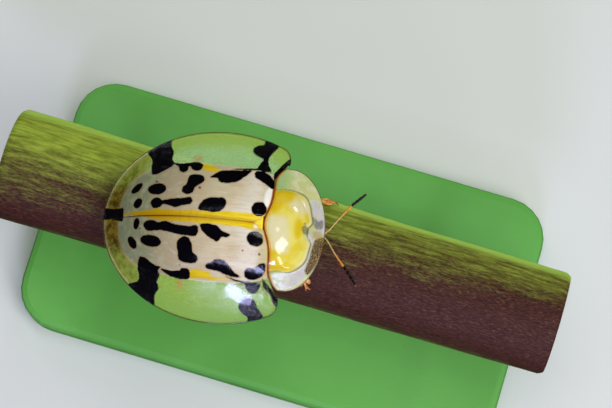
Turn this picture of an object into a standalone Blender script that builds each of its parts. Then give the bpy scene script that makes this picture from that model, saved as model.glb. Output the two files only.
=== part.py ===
"""A tortoise beetle of life size that clings to a cut length of stem on a small display stand.

Sizes are in millimetres. The beetle is drawn in its own frame: x towards its head, y to its
left, z up, with the rim of its wing cases at z = 0. An empty carries that frame to its place
on the stand. The origin of the whole is the middle of the underside of the stand's base.
"""

import math

import bmesh
import bpy
from mathutils import Matrix, Vector

MM = 0.001
GAP = 0.25  # free space left between two pieces that meet
SHELL = 0.5  # wall of the wing cases and of the pronotum
RIM_SHARE = 0.6  # the wall at the outer rim, as a share of SHELL

# Stand and stem.
BASE_LENGTH = 36.0
BASE_WIDTH = 19.0
BASE_HEIGHT = 2.4
BASE_CORNER = 3.0
BASE_EDGE = 0.5
ROD_RADIUS = 0.9
ROD_HEIGHT = 4.4
ROD_SPREAD = 11.0
STEM_RADIUS_BACK = 4.0
STEM_RADIUS_FRONT = 3.7
STEM_LENGTH = 40.0
STEM_TURN = math.radians(-12.2)  # the stem runs obliquely under the beetle
STEM_SIDES = 24
STEM_TOP = -1.2  # height of the stem's back in the beetle's frame
STEM_SIDE_SHIFT = 1.04  # the stem's line lies this far to the left below the beetle's origin
STEM_MIDDLE = 4.5  # the stem is centred this far in front of the beetle's origin

# Wing cases, seen from above.
APEX = Vector((-0.3, 0.0))  # highest point of the dome
DOME_HEIGHT = 3.7
RIM_CENTRE = 0.4
RIM_LENGTH = 7.98
RIM_WIDTH = 6.62
RIM_CORNER_X = 4.15  # where the rim leaves its ellipse for the shoulder corner
RIM_CORNER_RADIUS = 0.85
RIM_CORNER_END = math.radians(-31.6)
DISC_CENTRE = 0.5
DISC_LENGTH = 7.0
DISC_WIDTH = 3.93
DISC_POWER = 2.8
SHOULDER = Vector((3.85, 3.45))
DISC_EDGE_TAIL = 0.75  # height of the disc's edge at the tail, at the side and at the shoulder
DISC_EDGE_SIDE = 1.6
DISC_EDGE_FRONT = 1.85
RIDGE_FRONT = 3.25  # height of the suture at the base of the wing cases
SHOULDER_RIM = 0.35
REAR_SHARE = 0.68  # share of the rows that fan out behind the apex

# Pronotum, seen from above.
PRONOTUM_FRONT = 7.52
PRONOTUM_WIDTH = 4.2
PRONOTUM_WIDEST = 4.95
BASE_LINE = 3.88  # hind edge of the pronotum beside its middle lobe
LOBE_DEPTH = 0.5
LOBE_WIDTH = 1.15
FLARE_START = 3.0
FLARE_DEPTH = 0.65
PRONOTUM_CENTRE = 3.6
PRONOTUM_DISC_LENGTH = 2.8
PRONOTUM_DISC_WIDTH = 2.95
PRONOTUM_TOP = 3.15
PRONOTUM_EDGE_FRONT = 1.75
PRONOTUM_EDGE_SIDE = 2.0
PRONOTUM_RIM_FRONT = 0.95
PRONOTUM_RIM_SIDE = 1.25

# Scutellum.
SCUTELLUM_LENGTH = 0.62
SCUTELLUM_WIDTH = 0.5

# Body below the shell.
KEEL = -0.05
BODY_EDGE = 0.95
ABDOMEN_END = -5.9
WAIST = -0.7
THORAX_FRONT = 3.2
PROTHORAX_FRONT = 5.3
HEAD_CENTRE = Vector((6.22, 0.0, 0.25))
HEAD_HALF = Vector((0.7, 1.0, 0.68))
EYE_CENTRE = Vector((6.15, 0.86, 0.42))
EYE_HALF = Vector((0.36, 0.26, 0.42))
MOUTH_TOP = -0.62
MOUTH_BOTTOM = -0.98

# Legs and antennae.
COXA_RADIUS = 0.42
FEMUR_RADIUS = 0.4
TIBIA_RADIUS = 0.27
TARSUS_RADIUS = 0.25
ANTENNA_RADIUS = 0.25
ANTENNA_ROOT = Vector((7.12, 0.37, 0.12))
ANTENNA_SEGMENTS = 11
ANTENNA_BENDS = {
    1: ((8.4, 1.2, 0.22), (9.2, 2.12, 0.4), (10.15, 3.02, 0.5)),
    -1: ((8.25, -1.2, 0.22), (8.95, -2.1, 0.4), (9.88, -3.36, 0.5)),
}

# Each leg: coxa, knee, then the ankle and the claws as x along the beetle and angle round the stem.
LEGS = {
    "leg_front_left": ((4.7, 0.8, -0.3), (5.1, 3.5, -0.25), (6.6, 52), (8.1, 61)),
    "leg_front_right": ((4.7, -0.8, -0.3), (4.6, -3.5, -0.25), (5.9, -29), (6.6, -48)),
    "leg_middle_left": ((2.2, 1.35, -0.4), (1.3, 3.5, -0.35), (0.4, 55), (-0.4, 78)),
    "leg_middle_right": ((2.2, -1.35, -0.4), (1.2, -3.55, -0.35), (0.6, -58), (-0.2, -80)),
    "leg_hind_left": ((0.3, 1.5, -0.4), (-1.5, 4.5, -0.1), (-2.5, 30), (-3.9, 36)),
    "leg_hind_right": ((0.3, -1.5, -0.4), (-2.1, -3.95, -0.1), (-2.2, -55), (-3.3, -75)),
}

STEM_AXIS_HEIGHT = STEM_TOP - (STEM_RADIUS_BACK + STEM_RADIUS_FRONT) / 2
STEM_ALONG = Vector((math.cos(STEM_TURN), math.sin(STEM_TURN), 0.0))
STEM_LEFT = Vector((-math.sin(STEM_TURN), math.cos(STEM_TURN), 0.0))
STEM_ORIGIN = Vector((0.0, STEM_SIDE_SHIFT, STEM_AXIS_HEIGHT))
STEM_CENTRE = STEM_ORIGIN + STEM_ALONG * (STEM_MIDDLE / STEM_ALONG.x)
STEM_HEIGHT = BASE_HEIGHT + ROD_HEIGHT + 2 * GAP + STEM_RADIUS_BACK
BEETLE_AT = Vector((-STEM_CENTRE.x, -STEM_CENTRE.y, STEM_HEIGHT - STEM_AXIS_HEIGHT))


def smooth(value):
    """0 below 0 and 1 above 1, with an even turn between them."""
    value = min(max(value, 0.0), 1.0)
    return value * value * (3 - 2 * value)


def mix(low, high, share):
    return low + (high - low) * share


def material(name, colour, roughness):
    made = bpy.data.materials.new(name)
    made.use_nodes = True
    shader = made.node_tree.nodes["Principled BSDF"]
    shader.inputs["Base Color"].default_value = (*colour, 1.0)
    shader.inputs["Roughness"].default_value = roughness
    shader.inputs["Metallic"].default_value = 0.0
    made.diffuse_color = (*colour, 1.0)
    return made


def object_of(name, bm, finish, parent=None):
    """Makes the bmesh, drawn in millimetres, an object in metres."""
    bmesh.ops.scale(bm, vec=(MM, MM, MM), verts=bm.verts)
    mesh = bpy.data.meshes.new(name)
    bm.to_mesh(mesh)
    bm.free()
    mesh.shade_smooth()
    mesh.set_sharp_from_angle(angle=math.radians(50))
    mesh.materials.append(finish)
    made = bpy.data.objects.new(name, mesh)
    made.parent = parent
    bpy.context.scene.collection.objects.link(made)
    return made


def sheet_of(rows):
    """A bmesh skin over rows of points, all of one length."""
    bm = bmesh.new()
    made = [[bm.verts.new(point) for point in row] for row in rows]
    for first, second in zip(made, made[1:]):
        for i in range(len(first) - 1):
            bm.faces.new((first[i], first[i + 1], second[i + 1], second[i]))
    return bm


def tube_of(rings, start=None, end=None):
    """A closed bmesh over rings of points, closed by a flat face or by a cone to a point."""
    bm = bmesh.new()
    made = [[bm.verts.new(point) for point in ring] for ring in rings]
    count = len(made[0])
    for first, second in zip(made, made[1:]):
        for i in range(count):
            j = (i + 1) % count
            bm.faces.new((first[i], first[j], second[j], second[i]))
    for ring, tip in ((made[0], start), (made[-1], end)):
        if tip is None:
            bm.faces.new(ring)
            continue
        point = bm.verts.new(tip)
        for i in range(count):
            bm.faces.new((ring[i], ring[(i + 1) % count], point))
    bmesh.ops.recalc_face_normals(bm, faces=bm.faces)
    return bm


def limb(points, widths, depths, sides, up, blunt=0.5):
    """A closed bmesh round a line of points. Widths lie across up, and depths along it."""
    rings = []
    for i, point in enumerate(points):
        along = (points[min(i + 1, len(points) - 1)] - points[max(i - 1, 0)]).normalized()
        across = along.cross(up).normalized()
        over = across.cross(along).normalized()
        rings.append([])
        for k in range(sides):
            turn = 2 * math.pi * (k + 0.5) / sides
            rings[-1].append(
                point + across * widths[i] * math.cos(turn) + over * depths[i] * math.sin(turn)
            )
    first = (points[0] - points[1]).normalized() * min(widths[0], depths[0]) * blunt
    last = (points[-1] - points[-2]).normalized() * min(widths[-1], depths[-1]) * blunt
    return tube_of(rings, points[0] + first, points[-1] + last)


def ball(centre, half, segments=12, rings=8):
    """A closed bmesh ellipsoid."""
    bm = bmesh.new()
    bmesh.ops.create_uvsphere(bm, u_segments=segments, v_segments=rings, radius=1.0)
    bmesh.ops.transform(bm, matrix=Matrix.Translation(centre) @ Matrix.Diagonal((*half, 1.0)), verts=bm.verts)
    return bm


def largest_surface(bm):
    """Drops all but the largest connected surface."""
    left = set(bm.verts)
    islands = []
    while left:
        island = {left.pop()}
        edge_of_island = set(island)
        while edge_of_island:
            near = {edge.other_vert(v) for v in edge_of_island for edge in v.link_edges}
            edge_of_island = near - island
            island |= near
        left -= island
        islands.append(island)
    keep = max(islands, key=len)
    bmesh.ops.delete(bm, geom=[v for v in bm.verts if v not in keep], context="VERTS")


def combined(body, tools, operation):
    """Joins or cuts the object body with other objects by one Boolean, applies it and removes them."""
    group = bpy.data.collections.new(body.name + "_tools")
    for tool in tools:
        group.objects.link(tool)
    cut = body.modifiers.new("combine", "BOOLEAN")
    cut.operation = operation
    cut.operand_type = "COLLECTION"
    cut.collection = group
    cut.solver = "EXACT"
    bpy.context.view_layer.update()
    graph = bpy.context.evaluated_depsgraph_get()
    mesh = bpy.data.meshes.new_from_object(body.evaluated_get(graph))
    body.modifiers.clear()
    bm = bmesh.new()
    bm.from_mesh(mesh)
    largest_surface(bm)
    bm.to_mesh(mesh)
    bm.free()
    body.data = mesh
    mesh.name = body.name
    mesh.set_sharp_from_angle(angle=math.radians(50))
    for tool in tools:
        bpy.data.objects.remove(tool)
    bpy.data.collections.remove(group)
    return body


def rear_rim(turn):
    """Point of the wing cases' rim at an angle from the tail, up to their widest place."""
    return Vector((RIM_CENTRE - RIM_LENGTH * math.cos(turn), RIM_WIDTH * math.sin(turn)))


def corner_centre():
    """Centre of the round shoulder corner, which leaves the rim's ellipse along its tangent."""
    share = (RIM_CORNER_X - RIM_CENTRE) / RIM_LENGTH
    y = RIM_WIDTH * math.sqrt(1 - share * share)
    out = Vector((share / RIM_LENGTH, y / RIM_WIDTH**2)).normalized()
    return Vector((RIM_CORNER_X, y)) - out * RIM_CORNER_RADIUS, math.atan2(out.y, out.x)


def front_rim(share):
    """Point of the rim from its widest place, at 0, round the shoulder corner, at 1."""
    centre, start = corner_centre()
    side_share = 0.62
    if share < side_share:
        x = mix(RIM_CENTRE, RIM_CORNER_X, share / side_share)
        return Vector((x, RIM_WIDTH * math.sqrt(1 - ((x - RIM_CENTRE) / RIM_LENGTH) ** 2)))
    turn = mix(start, RIM_CORNER_END, (share - side_share) / (1 - side_share))
    return centre + RIM_CORNER_RADIUS * Vector((math.cos(turn), math.sin(turn)))


def wing_case_line(row):
    """Suture, disc edge and rim points of one line across a wing case, from the tail, 0, to the base, 1."""
    if row <= REAR_SHARE:
        turn = math.pi / 2 * row / REAR_SHARE
        power = 2 / DISC_POWER
        edge = Vector(
            (DISC_CENTRE - DISC_LENGTH * math.cos(turn) ** power, DISC_WIDTH * math.sin(turn) ** power)
        )
        rim = rear_rim(math.pi / 2 * (row / REAR_SHARE) ** 1.25)
        edge_height = mix(DISC_EDGE_TAIL, DISC_EDGE_SIDE, math.sin(turn) ** 2)
        return (*APEX, DOME_HEIGHT), (*edge, edge_height), (*rim, 0.0)
    share = (row - REAR_SHARE) / (1 - REAR_SHARE)
    front = base_edge(0.0)
    suture = (mix(APEX.x, front, share), 0.0, mix(DOME_HEIGHT, RIDGE_FRONT, share * share))
    edge_x = mix(DISC_CENTRE, SHOULDER.x, share)
    edge = (edge_x, mix(DISC_WIDTH, SHOULDER.y, share**2.5), mix(DISC_EDGE_SIDE, DISC_EDGE_FRONT, share))
    rim = front_rim(share)
    return suture, edge, (*rim, SHOULDER_RIM * smooth((share - 0.6) / 0.4))


def pronotum_hind_edge(y):
    """x of the pronotum's hind edge: a middle lobe that points back, and corners that flare forward."""
    flare = max(0.0, (abs(y) - FLARE_START) / (PRONOTUM_WIDTH - FLARE_START))
    return BASE_LINE - LOBE_DEPTH * math.exp(-((y / LOBE_WIDTH) ** 2)) + FLARE_DEPTH * flare**2


def base_edge(y):
    """x of the front edge of the wing cases: behind the pronotum, and round the scutellum."""
    beside_scutellum = (abs(y) - SCUTELLUM_WIDTH) * SCUTELLUM_LENGTH / SCUTELLUM_WIDTH
    return pronotum_hind_edge(y) - GAP + min(0.0, beside_scutellum)


def wing_case_point(row, t):
    """A point of the outer face: t runs 0 to 1 over the disc and 1 to 2 over the clear margin."""
    suture, edge, rim = (Vector(p) for p in wing_case_line(row))
    suture.y = 0.5 * GAP
    if t <= 1:
        point = suture.lerp(edge, t)
        point.z = mix(edge.z, suture.z, (1 - t**2.2) ** 0.9)
        last = [Vector(p) for p in wing_case_line(1.0)[:2]]
        straight = mix(last[0].x, last[1].x, point.y / last[1].y)
        point.x += smooth((row - REAR_SHARE) / (1 - REAR_SHARE)) * (base_edge(point.y) - straight) * (1 - t**3)
        return point
    point = edge.lerp(rim, t - 1)
    point.z = mix(rim.z, edge.z, (2 - t) ** 1.15) + 0.08 * (t - 1) ** 8
    return point


def wing_case(name, side, finish, parent):
    """One wing case: domed disc and thin outer margin in one closed shell."""
    rows = 26
    steps = [i / 7 for i in range(7)] + [1 + i / 4 for i in range(5)]
    lines = []
    for i in range(rows + 1):
        lines.append([wing_case_point(i / rows, t) for t in steps])
        for point in lines[-1]:
            point.y *= side
    bm = sheet_of(lines)
    bmesh.ops.remove_doubles(bm, verts=bm.verts, dist=1e-4)
    bmesh.ops.recalc_face_normals(bm, faces=bm.faces)
    if sum(face.normal.z for face in bm.faces) < 0:
        bmesh.ops.reverse_faces(bm, faces=bm.faces)
    return shell_of(name, bm, finish, parent)


def shell_of(name, bm, finish, parent):
    """Gives an open skin its wall, thinner along its border."""
    border = [v.index for v in number(bm) if v.is_boundary]
    made = object_of(name, bm, finish, parent)
    inner = made.vertex_groups.new(name="wall")
    inner.add(range(len(made.data.vertices)), 1.0, "REPLACE")
    inner.add(border, 0.0, "REPLACE")
    wall = made.modifiers.new("wall", "SOLIDIFY")
    wall.thickness = SHELL * MM
    wall.offset = -1.0
    wall.use_even_offset = True
    wall.vertex_group = "wall"
    wall.thickness_vertex_group = RIM_SHARE
    return made


def number(bm):
    bm.verts.index_update()
    bm.verts.ensure_lookup_table()
    return bm.verts


def pronotum_front_edge(y):
    share = min(abs(y) / PRONOTUM_WIDTH, 1.0)
    return PRONOTUM_WIDEST + (PRONOTUM_FRONT - PRONOTUM_WIDEST) * math.sqrt(1 - share * share)


def pronotum_height(x, y):
    """Height of the pronotum's outer face: a domed disc, then a margin that slopes to the rim."""
    along = (x - PRONOTUM_CENTRE) / PRONOTUM_DISC_LENGTH
    across = y / PRONOTUM_DISC_WIDTH
    reach = math.hypot(along, across)
    sideways = abs(across) / max(reach, 1e-6)
    edge = mix(PRONOTUM_EDGE_FRONT, PRONOTUM_EDGE_SIDE, sideways)
    rim = mix(PRONOTUM_RIM_FRONT, PRONOTUM_RIM_SIDE, sideways)
    if reach <= 1:
        return mix(edge, PRONOTUM_TOP, (1 - reach**2.2) ** 0.9)
    return mix(edge, rim, (reach - 1) / 0.42)


def pronotum_reach(turn):
    """How far the pronotum goes from its middle at an angle, found by halving."""
    low, high = 0.0, 8.0
    for _ in range(40):
        half = (low + high) / 2
        x = PRONOTUM_WIDEST + half * math.cos(turn)
        y = half * math.sin(turn)
        inside = abs(y) < PRONOTUM_WIDTH and pronotum_hind_edge(y) < x < pronotum_front_edge(y)
        low, high = (half, high) if inside else (low, half)
    return low


def pronotum(finish, parent):
    """The shield over the head and the first ring of the thorax."""
    spokes = 36
    shares = (0.18, 0.36, 0.52, 0.66, 0.78, 0.89, 1.0)
    bm = bmesh.new()
    middle = bm.verts.new((PRONOTUM_WIDEST, 0.0, pronotum_height(PRONOTUM_WIDEST, 0.0)))
    rings = []
    for share in shares:
        rings.append([])
        for i in range(spokes):
            turn = 2 * math.pi * i / spokes
            reach = pronotum_reach(turn) * share
            x = PRONOTUM_WIDEST + reach * math.cos(turn)
            y = reach * math.sin(turn)
            rings[-1].append(bm.verts.new((x, y, pronotum_height(x, y))))
    for i in range(spokes):
        j = (i + 1) % spokes
        bm.faces.new((middle, rings[0][i], rings[0][j]))
        for inner, outer in zip(rings, rings[1:]):
            bm.faces.new((inner[i], outer[i], outer[j], inner[j]))
    return shell_of("pronotum", bm, finish, parent)


def scutellum(finish, parent):
    """The small triangle between the wing cases and the pronotum's lobe."""
    front = pronotum_hind_edge(0.0) - GAP
    half = SCUTELLUM_WIDTH - GAP
    tip = front - SCUTELLUM_LENGTH + GAP
    top = RIDGE_FRONT
    rings = []
    for height in (top - SHELL, top - 0.1, top):
        inset = 0.08 if height == top else 0.0
        rings.append(
            [
                Vector((front - inset, half - inset, height)),
                Vector((tip + 2 * inset, 0.05, height)),
                Vector((tip + 2 * inset, -0.05, height)),
                Vector((front - inset, inset - half, height)),
            ]
        )
    return object_of("scutellum", tube_of(rings), finish, parent)


def body_ring(x, half_width, top, keel, edge=BODY_EDGE, count=20):
    """Cross-section of the body: arched above, shallow below."""
    ring = []
    for i in range(count):
        turn = 2 * math.pi * i / count
        rise = math.sin(turn)
        height = mix(edge, top, rise**1.3) if rise > 0 else mix(edge, keel, abs(rise) ** 1.2)
        ring.append(Vector((x, half_width * math.cos(turn), height)))
    return ring


def disc_half_width(x):
    """Half width of the wing cases' disc at x."""
    if x > DISC_CENTRE:
        return mix(DISC_WIDTH, SHOULDER.y, ((x - DISC_CENTRE) / (SHOULDER.x - DISC_CENTRE)) ** 2.5)
    share = min((DISC_CENTRE - x) / DISC_LENGTH, 1.0)
    return DISC_WIDTH * (1 - share**DISC_POWER) ** (1 / DISC_POWER)


def under_dome(x):
    """Height that the body may reach below the suture at x."""
    if x > APEX.x:
        ridge = mix(DOME_HEIGHT, RIDGE_FRONT, ((x - APEX.x) / (base_edge(0.0) - APEX.x)) ** 2)
    else:
        share = (APEX.x - x) / (APEX.x - DISC_CENTRE + DISC_LENGTH)
        ridge = mix(DISC_EDGE_TAIL, DOME_HEIGHT, (1 - share**2.2) ** 0.9)
    return ridge - SHELL - 1.5 * GAP


def abdomen(finish, parent):
    """Five plates below, each ending in a small step, closed above under the dome."""
    plates = 5
    rings = []
    for i in range(plates):
        front = mix(WAIST, ABDOMEN_END, i / plates)
        back = mix(WAIST, ABDOMEN_END, (i + 1) / plates)
        for x, drop in ((front, 0.0), (mix(front, back, 0.85), 0.12)):
            width = disc_half_width(x) - SHELL - 1.6 * GAP
            top = min(under_dome(x), BODY_EDGE + 2.2)
            edge = mix(0.55, BODY_EDGE, smooth((x - ABDOMEN_END) / 2.5))
            rings.append(body_ring(x, width, max(top, edge + 0.1), KEEL - drop + 0.3 * (i / plates) ** 2, edge))
    end = Vector((ABDOMEN_END, 0.0, 0.5))
    return object_of("abdomen", tube_of(rings, None, end), finish, parent)


def thorax(finish, parent):
    """The middle and hind thorax, which carry the middle and hind legs."""
    rings = []
    for share, keel in ((0.0, KEEL), (0.3, KEEL - 0.15), (0.65, KEEL - 0.15), (1.0, KEEL + 0.1)):
        x = mix(WAIST + GAP, THORAX_FRONT, share)
        width = min(disc_half_width(x) - SHELL - 1.6 * GAP, 3.1) - 0.5 * share**3
        rings.append(body_ring(x, width, under_dome(x) - 0.35 * share**4, keel))
    return object_of("thorax", tube_of(rings), finish, parent)


def prothorax(finish, parent):
    """The ring of the body below the pronotum, which carries the front legs."""
    rings = []
    start = THORAX_FRONT + GAP
    for share, width in ((0.0, 2.35), (0.35, 2.35), (0.75, 1.9), (1.0, 1.3)):
        x = mix(start, PROTHORAX_FRONT, share)
        top = pronotum_height(x + 0.3, width * 0.4) - SHELL - 1.6 * GAP
        rings.append(body_ring(x, width, top, KEEL, mix(0.9, 0.45, share), 16))
    return object_of("prothorax", tube_of(rings), finish, parent)


def leg_cutters(names, finish, parent):
    """Balls a gap larger than the coxae, which cut the sockets that the legs sit in."""
    made = []
    for name in names:
        centre = Vector(LEGS[name][0])
        half = Vector((1, 1, 1)) * (COXA_RADIUS + GAP)
        made.append(object_of(name + "_socket", ball(centre, half, 14, 10), finish, parent))
    return made


def head(finish, parent):
    """The head capsule below the front of the pronotum, with sockets for the eyes."""
    made = object_of("head", ball(HEAD_CENTRE, HEAD_HALF, 20, 14), finish, parent)
    sockets = []
    for side in (1, -1):
        centre = Vector((EYE_CENTRE.x, side * EYE_CENTRE.y, EYE_CENTRE.z))
        half = EYE_HALF + Vector((GAP, GAP, GAP))
        sockets.append(object_of(f"socket_{side}", ball(centre, half, 14, 10), finish, parent))
    return combined(made, sockets, "DIFFERENCE")


def eye(name, side, finish, parent):
    centre = Vector((EYE_CENTRE.x, side * EYE_CENTRE.y, EYE_CENTRE.z))
    return object_of(name, ball(centre, EYE_HALF, 14, 10), finish, parent)


def mouthparts(finish, parent):
    """Upper lip in front, a jaw at each side and two pairs of short palps behind them."""
    middle = (MOUTH_TOP + MOUTH_BOTTOM) / 2
    half_height = (MOUTH_TOP - MOUTH_BOTTOM) / 2
    lip = object_of(
        "mouthparts", ball(Vector((6.5, 0.0, middle)), Vector((0.3, 0.5, half_height)), 14, 8), finish, parent
    )
    others = []
    for side in (1, -1):
        for k, (x, spread) in enumerate(((6.3, 0.5), (6.05, 0.42))):
            line = [
                Vector((x, side * 0.2, middle)),
                Vector((x, side * spread, middle)),
                Vector((x + 0.12, side * (spread + 0.22), middle)),
            ]
            widths = [0.24, 0.18, 0.08]
            others.append(
                object_of(
                    f"palp_{side}_{k}", limb(line, widths, [0.14, 0.13, 0.07], 8, Vector((0, 0, 1))), finish, parent
                )
            )
    return combined(lip, others, "UNION")


def stem_radius(along):
    """Radius of the stem at a distance along it from its middle: it tapers evenly to the front."""
    return mix(STEM_RADIUS_BACK, STEM_RADIUS_FRONT, along / STEM_LENGTH + 0.5)


def stem_out(angle):
    """The way out of the stem at an angle in degrees from its back, to the left."""
    turn = math.radians(angle)
    return STEM_LEFT * math.sin(turn) + Vector((0, 0, 1)) * math.cos(turn)


def stem_point(x, angle, lift):
    """A point at x in the beetle's frame, an angle in degrees round the stem and a height off it."""
    radius = stem_radius((x - STEM_MIDDLE) / STEM_ALONG.x)
    point = STEM_ORIGIN + stem_out(angle) * (radius + lift)
    return point + STEM_ALONG * ((x - point.x) / STEM_ALONG.x)


def tarsus_pieces(ankle, claws):
    """Two short joints, a broad pair of pads, a slender last joint and two claws, along the stem."""
    lift = TARSUS_RADIUS + GAP
    up = stem_out((ankle[1] + claws[1]) / 2)

    def at(share, sideways=0.0):
        point = stem_point(mix(ankle[0], claws[0], share), mix(ankle[1], claws[1], share), lift)
        along = stem_point(claws[0], claws[1], lift) - stem_point(ankle[0], ankle[1], lift)
        return point + along.normalized().cross(up) * sideways

    thick = TARSUS_RADIUS
    pieces = [
        limb([at(-0.05), at(0.1), at(0.22)], [0.2, 0.28, 0.3], [thick] * 3, 8, up),
        limb([at(0.14), at(0.3), at(0.4)], [0.22, 0.33, 0.35], [thick * 0.95] * 3, 8, up),
        limb([at(0.3), at(0.6), at(0.9)], [0.2, 0.22, 0.25], [thick] * 3, 8, up),
    ]
    for side in (1, -1):
        pad = [at(0.36, side * 0.05), at(0.5, side * 0.2), at(0.66, side * 0.27)]
        pieces.append(limb(pad, [0.2, 0.25, 0.18], [thick * 0.9, thick * 0.9, thick * 0.7], 8, up))
        claw = [at(0.84, side * 0.08), at(0.96, side * 0.22), at(1.06, side * 0.3)]
        pieces.append(limb(claw, [0.13, 0.1, 0.04], [0.12, 0.09, 0.04], 6, up))
    return pieces


def leg(name, finish, parent):
    """One leg from its coxa to its claws, fused into one closed piece."""
    coxa, knee, ankle, claws = LEGS[name]
    coxa, knee = Vector(coxa), Vector(knee)
    foot = stem_point(*ankle, TARSUS_RADIUS + GAP)
    sag = Vector((0, 0, -0.18))
    thigh = [coxa + sag, coxa.lerp(knee, 0.25) + sag, coxa.lerp(knee, 0.6) + sag * 0.5, knee]
    femur = limb(thigh, [0.27, FEMUR_RADIUS, FEMUR_RADIUS, 0.28], [0.26, 0.36, 0.36, 0.27], 10, Vector((0, 0, 1)))
    bow = (knee - STEM_CENTRE).normalized() * 0.12
    bow.x = 0.0
    shin = [knee, knee.lerp(foot, 0.35) + bow, knee.lerp(foot, 0.75) + bow * 0.6, foot]
    across = (knee - coxa).cross(foot - knee).normalized()
    tibia = limb(shin, [0.26, 0.26, TIBIA_RADIUS, 0.3], [0.25, 0.25, 0.26, 0.25], 8, across)
    pieces = [tibia, *tarsus_pieces(ankle, claws)]
    pieces.append(ball(coxa, Vector((1, 1, 1)) * COXA_RADIUS, 12, 8))
    body = object_of(name, femur, finish, parent)
    others = [object_of(f"{name}_{i}", piece, finish, parent) for i, piece in enumerate(pieces)]
    return combined(body, others, "UNION")


def antenna(name, side, finish, parent):
    """Eleven joints on one bent line, each a little waisted where it meets the next."""
    root = Vector((ANTENNA_ROOT.x, side * ANTENNA_ROOT.y, ANTENNA_ROOT.z))
    bends = [
        root,
        root + Vector((0.5, side * 0.05, 0.0)),
        *(Vector(bend) for bend in ANTENNA_BENDS[side]),
    ]
    points = []
    widths = []
    for i in range(ANTENNA_SEGMENTS):
        for inside, swell in ((0.12, 0.86), (0.55, 1.0), (0.88, 1.0)):
            share = (i + inside) / ANTENNA_SEGMENTS
            points.append(along_line(bends, share))
            widths.append(ANTENNA_RADIUS * swell * (1.12 if i > ANTENNA_SEGMENTS - 3 else 1.0))
    widths[-1] *= 0.6
    return object_of(name, limb(points, widths, widths, 8, Vector((0, 0, 1)), 1.2), finish, parent)


def along_line(points, share):
    """Point at a share of a smooth line through the points."""
    spans = len(points) - 1
    place = min(max(share, 0.0), 1.0) * spans
    i = min(int(place), spans - 1)
    t = place - i
    before = points[max(i - 1, 0)]
    after = points[min(i + 2, spans)]
    start = (points[i + 1] - before) / 2
    end = (after - points[i]) / 2
    a = points[i] * (2 * t**3 - 3 * t**2 + 1) + start * (t**3 - 2 * t**2 + t)
    return a + points[i + 1] * (3 * t**2 - 2 * t**3) + end * (t**3 - t**2)


def stem(finish):
    """The cut length of stem: faintly ribbed, with a small bevel round each cut end."""
    rings = []
    half = STEM_LENGTH / 2
    stations = [(-half, 0.93), (-half + 0.25, 1.0)]
    stations += [(mix(-half, half, i / 8), 1.0) for i in range(1, 8)]
    stations += [(half - 0.25, 1.0), (half, 0.93)]
    for along, share in stations:
        ring = []
        for i in range(STEM_SIDES):
            radius = stem_radius(along) * share * (1 - 0.012 * (i % 2))
            ring.append(STEM_ALONG * along + stem_out(360 * i / STEM_SIDES) * radius)
        rings.append(ring)
    made = object_of("perch_stem", tube_of(rings), finish)
    made.location = (0.0, 0.0, STEM_HEIGHT * MM)
    return made


def stand_base(finish):
    """A flat plate with round corners, its upper edge bevelled."""
    bm = bmesh.new()
    bmesh.ops.create_cube(bm, size=1.0)
    bmesh.ops.scale(bm, vec=(BASE_LENGTH, BASE_WIDTH, BASE_HEIGHT), verts=bm.verts)
    upright = [e for e in bm.edges if abs(e.verts[0].co.z - e.verts[1].co.z) > BASE_HEIGHT / 2]
    bmesh.ops.bevel(bm, geom=upright, offset=BASE_CORNER, segments=6, profile=0.5, affect="EDGES")
    upper = [e for e in bm.edges if min(v.co.z for v in e.verts) > 0 and len(e.link_faces) == 2]
    upper = [e for e in upper if any(abs(f.normal.z) < 0.5 for f in e.link_faces)]
    upper = [e for e in upper if any(f.normal.z > 0.5 for f in e.link_faces)]
    bmesh.ops.bevel(bm, geom=upper, offset=BASE_EDGE, segments=2, profile=0.5, affect="EDGES")
    made = object_of("stand_base", bm, finish)
    made.location = (0.0, 0.0, BASE_HEIGHT / 2 * MM)
    made.rotation_euler = (0.0, 0.0, STEM_TURN)
    return made


def stand_rod(name, along, finish):
    """A short upright rod from the base to just below the stem."""
    foot = STEM_ALONG * along
    low = BASE_HEIGHT + GAP
    high = STEM_HEIGHT - stem_radius(along) - GAP
    bm = bmesh.new()
    bmesh.ops.create_cone(
        bm, cap_ends=True, segments=16, radius1=ROD_RADIUS, radius2=ROD_RADIUS, depth=high - low
    )
    made = object_of(name, bm, finish)
    made.location = (foot.x * MM, foot.y * MM, (low + high) / 2 * MM)
    return made


def main():
    for old in list(bpy.data.objects):
        bpy.data.objects.remove(old)
    cream = material("wing_case", (0.80, 0.70, 0.56), 0.15)
    yellow = material("pronotum", (0.85, 0.68, 0.10), 0.15)
    amber = material("body", (0.62, 0.40, 0.12), 0.35)
    orange = material("leg", (0.75, 0.36, 0.08), 0.3)
    black = material("eye", (0.02, 0.02, 0.02), 0.1)
    plant = material("stem", (0.22, 0.13, 0.10), 0.6)
    plate = material("stand_plate", (0.80, 0.78, 0.74), 0.5)
    steel = material("stand_rod", (0.60, 0.60, 0.60), 0.3)
    frame = bpy.data.objects.new("beetle", None)
    frame.location = BEETLE_AT * MM
    bpy.context.scene.collection.objects.link(frame)

    for side, word in ((1, "left"), (-1, "right")):
        wing_case(f"elytron_{word}", side, cream, frame)
        eye(f"eye_{word}", side, black, frame)
        antenna(f"antenna_{word}", side, orange, frame)
    pronotum(yellow, frame)
    scutellum(yellow, frame)
    abdomen(amber, frame)
    middle_legs = [name for name in LEGS if "front" not in name]
    front_legs = [name for name in LEGS if "front" in name]
    combined(thorax(amber, frame), leg_cutters(middle_legs, amber, frame), "DIFFERENCE")
    combined(prothorax(amber, frame), leg_cutters(front_legs, amber, frame), "DIFFERENCE")
    head(amber, frame)
    mouthparts(orange, frame)
    for name in LEGS:
        leg(name, orange, frame)
    stem(plant)
    stand_base(plate)
    stand_rod("stand_rod_back", -ROD_SPREAD, steel)
    stand_rod("stand_rod_front", ROD_SPREAD, steel)


main()
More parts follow.
